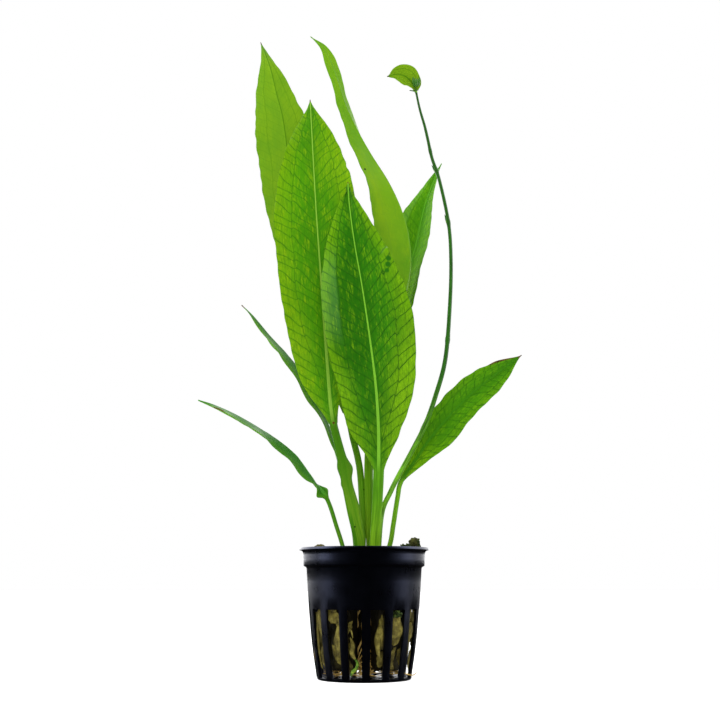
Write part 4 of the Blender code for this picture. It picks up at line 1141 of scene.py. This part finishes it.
def buildRoot(index):
    # a root down the pot's middle with finer ones branching off, some of them lying along the floor
    draw = np.random.default_rng(300 + index)
    heading = math.tau * (index + 0.5) / crown["roots"]
    route = []
    for step in range(12):
        share = step / 11
        distance = 2.1 + 4.0 * ease(share) + 0.5 * math.sin(4.3 * step + index)
        sway = 0.16 * math.sin(5 * share + 2.1 * index) + 0.10 * math.sin(2.9 * step + 2 * index)
        height = crown["foot"] + 1.5 - (29.5 + index % 3) * share
        route.append((math.cos(heading + sway) * distance, math.sin(heading + sway) * distance, height))
    radii = crown["rootRadius"] * np.linspace(1, 0.45, 12)
    root = tube(f"root{index + 1}", route, radii, sides=8, rows=90)
    branches = []
    for _ in range(crown["sideRoots"]):
        start = np.array(route[draw.integers(6, 11)])
        turn = heading + draw.uniform(-0.55, 0.55)
        foot = draw.uniform(2.0, 3.4)
        path = [tuple(start)]
        for share in (0.25, 0.5, 0.75, 1.0):
            reach = np.hypot(start[0], start[1]) * (1 - share) + draw.uniform(15.0, 17.3) * share
            turn = turn + draw.uniform(-0.12, 0.12) + (0.35 * share if draw.random() < 0.5 else -0.25 * share)
            rise = start[2] * (1 - share) ** 2 + foot * (1 - (1 - share) ** 2) + draw.uniform(-0.3, 0.6)
            path.append((math.cos(turn) * reach, math.sin(turn) * reach, max(rise, 1.7)))
        thick = draw.uniform(0.16, 0.32)
        branches.append(tube("sideRoot", path, [thick, thick, thick * 0.5], sides=6, rows=32))
    joinInto(root, branches)
    return root


finishPiece(buildCrown(), ["crown"], matSkin("corkyRootstock"))
rootSkin = matSkin("youngRoot")
for index in range(crown["roots"]):
    finishPiece(buildRoot(index), [f"root_{index + 1}"], rootSkin)
print("rootstock and roots done")


wool = {
    # the node, first and last heading in degrees, height of the top, the lump on it (heading, distance,
    # height), and how far its outer side keeps from the wall at its first heading and at its last
    "woolLeft": ("wool_left", 127, 252, 49.5, (190, 18.5, 3.6), (4.4, 3.4)),
    "woolRight": ("wool_right", -72, 53, 49.0, (-10, 20.5, 3.6), (3.4, 2.6)),
    "woolBack": ("wool_back", 60, 120, 48.5, (90, 17.0, 3.0), (1.2, 1.2)),
}
# How finely a wad is cut up and, in mm, its foot, inner side, folds and how wide a lump spreads.
woolShape = {"cuts": 38, "foot": 4.2, "inner": 8.8, "fold": 1.9, "spread": 5.0}

# Torn flakes that stand against the wall: heading and height of the middle, half length, width as a share of
# it, turn in degrees, depth behind the wall, dish, and which of the modelled flakes it copies.
flakes = {
    "woolLeft": [
        (238, 16.4, 7.2, 0.52, -10, 0.2, 0.6, 0), (233, 25.6, 3.2, 0.75, 58, 0.3, 0.6, 1),
        (238, 23.6, 2.0, 0.90, 20, 1.0, 0.5, 2), (232, 29.0, 2.6, 0.80, 110, 1.2, 0.6, 1),
        (231, 11.0, 3.6, 0.60, 24, 1.4, 0.6, 2), (240, 9.0, 3.0, 0.60, -40, 1.8, 0.6, 1),
        (209, 22.5, 8.0, 0.26, 3, 0.4, 0.5, 0), (214, 20.5, 8.5, 0.24, -3, 0.2, 0.5, 2),
        (213, 9.5, 5.0, 0.36, 8, 0.5, 0.5, 1), (189, 20.0, 7.5, 0.34, 6, 1.2, 0.5, 1),
        (190, 10.0, 5.0, 0.42, -10, 1.0, 0.5, 2), (166, 20.0, 6.5, 0.45, 8, 0.4, 0.6, 0),
        (163, 10.5, 5.0, 0.55, -20, 0.6, 0.6, 1), (142, 23.0, 5.5, 0.50, 14, 0.4, 0.6, 2),
        (140, 13.0, 5.5, 0.50, -6, 0.4, 0.6, 0), (249, 20.5, 3.4, 0.40, -30, 1.8, 0.6, 1),
        (248, 12.5, 3.0, 0.50, -24, 2.0, 0.6, 2), (250, 6.0, 2.4, 0.60, 10, 1.6, 0.5, 0),
    ],
    "woolRight": [
        (-53, 20.3, 6.4, 0.52, 6, 0.2, 0.6, 0), (-51, 10.0, 3.6, 0.60, -24, 1.6, 0.6, 1),
        (-55, 6.6, 2.6, 0.70, 30, 1.6, 0.6, 2), (-28, 26.6, 3.6, 0.66, 10, 0.2, 0.6, 1),
        (-29, 18.4, 4.6, 0.62, -24, 0.0, 0.6, 2), (-30, 9.5, 4.4, 0.50, 12, 1.6, 0.6, 0),
        (-68, 18.6, 6.4, 0.40, 6, 0.8, 0.6, 1), (-66, 9.0, 3.6, 0.50, -24, 2.0, 0.6, 0),
        (-7, 23.5, 4.6, 0.50, -6, 0.0, 0.5, 0), (-8, 16.2, 4.2, 0.55, 30, 0.0, 0.5, 1),
        (-4, 8.6, 3.6, 0.46, 14, 0.6, 0.5, 2), (0, 20.0, 6.0, 0.44, 8, 0.2, 0.5, 1),
        (18, 22.0, 6.0, 0.46, -8, 0.4, 0.6, 2), (21, 11.0, 5.0, 0.50, 10, 0.4, 0.6, 0),
        (43, 22.0, 5.5, 0.50, -16, 0.4, 0.6, 1), (45, 11.5, 5.0, 0.50, 20, 0.4, 0.6, 2),
        (5, 26.6, 3.2, 0.80, 0, -0.2, 0.4, 1), (-1, 12.6, 3.6, 0.60, 0, 0.0, 0.4, 2),
        (3, 5.4, 2.8, 0.80, 0, 0.0, 0.4, 0),
    ],
    "woolBack": [
        (68, 19.0, 6.5, 0.48, 8, 0.4, 0.6, 0), (92, 21.0, 6.0, 0.48, 6, 0.4, 0.6, 2),
        (90, 10.5, 4.5, 0.50, -14, 0.4, 0.6, 1), (115, 20.5, 6.0, 0.46, 10, 0.4, 0.6, 1),
        (117, 10.0, 4.5, 0.50, -10, 0.6, 0.6, 0),
    ],
}

# Rounded lumps that show above the rim: their middles and half sizes.
lumps = {
    "woolLeft": [((-18.2, -4.0, 52.9), (2.3, 2.0, 1.5))],
    "woolRight": [((20.9, -3.0, 54.8), (2.3, 2.2, 2.4)), ((17.6, -4.2, 52.6), (2.2, 1.8, 1.2))],
}

# Scraps on the wool's open top: place, half length, turn and lean in degrees, and the flake it copies.
topFlakes = {
    "woolLeft": [((-14.0, 7.0, 50.0), 3.6, 110, 20, 2), ((-13.0, -10.5, 50.2), 2.6, 40, 20, 2)],
    "woolRight": [((15.0, 9.0, 50.0), 3.6, 60, 20, 1), ((13.0, -11.0, 49.8), 2.6, 250, 20, 2)],
    "woolBack": [((0.0, 16.0, 50.2), 3.6, 10, 20, 0)],
}

# Crumbs of dark moss: the middle of each heap, its spread, and how many.
crumbs = {
    "woolRight": [((13.4, -17.2, 26.6), (2.0, 0.9, 1.1), 40), ((17.0, -5.0, 53.6), (1.8, 1.4, 0.5), 26),
                  ((22.3, -3.8, 54.8), (0.7, 1.2, 1.6), 22)],
}
crumbSize = (0.28, 0.62)    # the smallest and the largest, mm

# Fine strands: their routes and radii in mm, and what they are made of.
strands = {
    "woolLeft": [
        ([(-5.6, -19.0, 17.5), (-4.6, -19.3, 14.5), (-4.9, -19.2, 11.5), (-3.6, -19.0, 9.0)],
         [0.3, 0.9, 1.0, 0.5], "pulledShred"),
        ([(-3.9, -19.1, 9.4), (-2.7, -19.2, 7.6), (-3.2, -19.2, 5.6), (-4.6, -19.2, 4.2), (-5.3, -19.2, 2.6)],
         [0.3, 0.55, 0.6, 0.75, 0.3], "decayingShred"),
        ([(-6.4, -18.4, 18.6), (-6.2, -19.2, 20.2), (-5.2, -19.4, 20.0), (-4.5, -19.3, 17.0)],
         [0.15, 0.3, 0.3, 0.12], "pulledShred"),
        ([(-18.9, -8.9, 27.0), (-18.6, -8.7, 18.0), (-17.8, -8.4, 10.0), (-16.6, -8.0, 4.4)],
         [0.35, 0.55, 0.5, 0.2], "pulledShred"),
        ([(-19.9, -5.6, 26.5), (-19.4, -5.5, 17.0), (-18.5, -5.4, 8.0), (-17.6, -5.4, 3.5)],
         [0.3, 0.5, 0.4, 0.2], "pulledShred"),
        ([(-20.6, -2.6, 16.0), (-20.0, -2.7, 10.0), (-19.0, -2.8, 4.2)], [0.25, 0.35, 0.2], "youngRoot"),
    ],
    "woolRight": [
        ([(5.6, -17.6, 21.0), (5.2, -18.8, 16.0), (5.6, -19.0, 11.0), (6.8, -18.8, 8.4)],
         [0.5, 1.3, 0.9, 0.3], "pulledShred"),
        ([(15.0, -9.0, 3.4), (18.2, -8.0, 2.4), (20.0, -8.0, 2.4), (21.5, -8.2, 3.9)], [0.2, 0.22, 0.2, 0.1],
         "youngRoot"),
    ],
}


def wallAt(height):
    # the inner side of the pot's wall
    side = [point for point in pot["outline"][::-1] if point[0] > 18.5 and point[1] < 45]
    return np.interp(height, [high for reach, high in side], [reach for reach, high in side]) - pot["wall"]


def buildFlake(index):
    # a torn scrap about one unit long each way: ragged, dished and as thick as felt
    piece = addShape(f"flake{index}", bpy.ops.mesh.primitive_grid_add, x_subdivisions=12,
                     y_subdivisions=12, size=2)
    flat = places(piece)
    x = flat[:, 0] * np.sqrt(1 - flat[:, 1] ** 2 / 2)
    y = flat[:, 1] * np.sqrt(1 - flat[:, 0] ** 2 / 2)
    angle = np.arctan2(y, x)
    reach = np.hypot(x, y)
    torn = 1 + 0.16 * ripple(np.cos(angle) * 3, np.sin(angle) * 3, 2.6, 40 + index) * reach
    torn = torn + 0.22 * np.clip(np.cos(angle * (2 + index) + index * 2), 0, 1) ** 6 * reach
    fold = 0.14 * ripple(x * 3, y * 1.2, 2.4, 50 + index)
    dish = 0.30 * (1 - reach**2)
    setPlaces(piece, np.stack([x * torn, y * torn, dish + fold], axis=1))
    applyModifier(piece, "SOLIDIFY", thickness=0.10, offset=0)
    applyModifier(piece, "SUBSURF", levels=1, render_levels=1)
    closeUp(piece, 0.0001)
    return piece


def copyOf(piece):
    selectOnly(piece)
    bpy.ops.object.duplicate()
    return bpy.context.object


def turned(x, y, degrees):
    turn = math.radians(degrees)
    return x * math.cos(turn) - y * math.sin(turn), x * math.sin(turn) + y * math.cos(turn)


def wallFlake(models, heading, height, half, width, turn, depth, dish, which):
    # a flake laid against the pot's wall and bent round it
    piece = copyOf(models[which])
    shape = places(piece)
    sideways, upwards = turned(shape[:, 0] * half * width, shape[:, 1] * half, turn)
    height = height + upwards
    outer = wallAt(height) - depth
    lean = shape[:, 0] * half * width * (0.45, -0.45, 0.3)[which]   # one edge stands out, the other sinks in
    distance = np.minimum(outer + (shape[:, 2] - 0.35) * half * dish + lean, wallAt(height) + 0.5)
    angle = math.radians(heading) + sideways / outer
    setPlaces(piece, np.stack([np.cos(angle) * distance, np.sin(angle) * distance,
                               np.maximum(height, 2.2)], axis=1) * mm)
    return piece


def topFlake(models, middle, half, turn, lean, which):
    # a scrap that lies on top of the wool and stands up at one side
    piece = copyOf(models[which])
    shape = places(piece) * half
    across, rise = turned(shape[:, 0], shape[:, 2] * 1.6, lean)
    x, y = turned(across, shape[:, 1] * 0.8, turn)
    setPlaces(piece, (np.stack([x, y, rise], axis=1) + np.array(middle)) * mm)
    return piece


def buildLump(middle, halves):
    piece = addShape("lump", bpy.ops.mesh.primitive_uv_sphere_add, segments=28, ring_count=20, radius=1)
    shape = places(piece)
    rough = 1 + 0.10 * ripple(shape[:, 0] * 2 + shape[:, 1], shape[:, 2] * 2, 1.6, 81)
    setPlaces(piece, (shape * rough[:, None] * np.array(halves) + np.array(middle)) * mm)
    closeUp(piece)
    return piece


def buildCrumbs(middle, spread, count, draw):
    heap = []
    small, large = crumbSize
    for _ in range(count):
        place = np.array(middle) + draw.normal(0, 0.5, 3) * np.array(spread)
        crumb = addShape("crumb", bpy.ops.mesh.primitive_ico_sphere_add, subdivisions=2, radius=1)
        shape = places(crumb) * (1 + 0.15 * draw.normal(0, 1, (42, 1))) * draw.uniform(small, large)
        setPlaces(crumb, (shape + place) * mm)
        heap.append(crumb)
    return heap


def buildWad(name, first, last, top, lump, gaps):
    # a block bent round the pot's wall and torn: deep folds run down it
    piece = addShape(name, bpy.ops.mesh.primitive_cube_add, size=1)
    bpy.ops.object.mode_set(mode="EDIT")
    bpy.ops.mesh.select_all(action="SELECT")
    bpy.ops.mesh.subdivide(number_cuts=woolShape["cuts"])
    bpy.ops.object.mode_set(mode="OBJECT")
    shaped = []
    lumpHeading, lumpDistance, lumpHeight = lump
    lumpTurn = math.radians(lumpHeading)
    lumpPlace = Vector((math.cos(lumpTurn), math.sin(lumpTurn), 0)) * lumpDistance
    for x, y, z in places(piece) + 0.5:
        heading = math.radians(first + (last - first) * x)
        foot = woolShape["foot"] + 1.6 * noise.noise(Vector((heading * 6, top, 2.0)))
        height = foot + (top - foot) * z
        spot = Vector((math.cos(heading) * 15, math.sin(heading) * 15, height * 0.45))
        fold = noise.fractal(spot * 0.20, 1.0, 2.1, 4) + 0.5 * abs(noise.noise(spot * 0.55))
        gap = gaps[0] + (gaps[1] - gaps[0]) * x
        outer = wallAt(height) - gap - woolShape["fold"] * max(fold + 0.35, 0)
        inner = woolShape["inner"] + 0.5 * max(height - crown["top"], 0) + 0.8 * noise.noise(spot * 0.5)
        distance = inner + (outer - inner) * y
        point = Vector((math.cos(heading) * distance, math.sin(heading) * distance, height))
        if z > 0.999:
            away = (point - lumpPlace).to_2d().length
            point.z += lumpHeight * math.exp(-((away / woolShape["spread"]) ** 2)) * 0.8
            point.z += 1.0 * noise.noise(point * 0.35) - 0.4
        shaped.append(point * mm)
    setPlaces(piece, [tuple(point) for point in shaped])
    closeUp(piece)
    return piece


def addScraps(name, wad, models):
    # everything torn or crumbled that clings to a wad becomes part of it
    draw = np.random.default_rng(700)
    lumpSkin = "dampClump" if name == "woolRight" else "pulledShred"
    scraps = [(wallFlake(models, *flake), "pulledShred") for flake in flakes[name]]
    scraps += [(topFlake(models, *flake), "pulledShred") for flake in topFlakes[name]]
    scraps += [(buildLump(*lump), lumpSkin) for lump in lumps.get(name, [])]
    for heap in crumbs.get(name, []):
        scraps += [(crumb, "mossyCrumb") for crumb in buildCrumbs(*heap, draw)]
    for path, radii, skin in strands.get(name, []):
        scraps.append((tube("strand", path, radii, sides=8, rows=40), skin))
    for scrap, skin in scraps:
        scrap.data.materials.append(woolSkins[skin])
    joinInto(wad, [scrap for scrap, _ in scraps])


woolSkins = {name: matSkin(name) for name in mats if name not in ("corkyRootstock", "youngRoot")}
woolSkins["youngRoot"] = rootSkin
models = [buildFlake(index) for index in range(3)]
for name, (node, first, last, top, lump, gaps) in wool.items():
    wad = buildWad(name, first, last, top, lump, gaps)
    wad.data.materials.append(woolSkins["tornRockWool"])
    addScraps(name, wad, models)
    finishPiece(wad, [node])
    print(name, "packed")
for model in models:
    bpy.data.objects.remove(model)
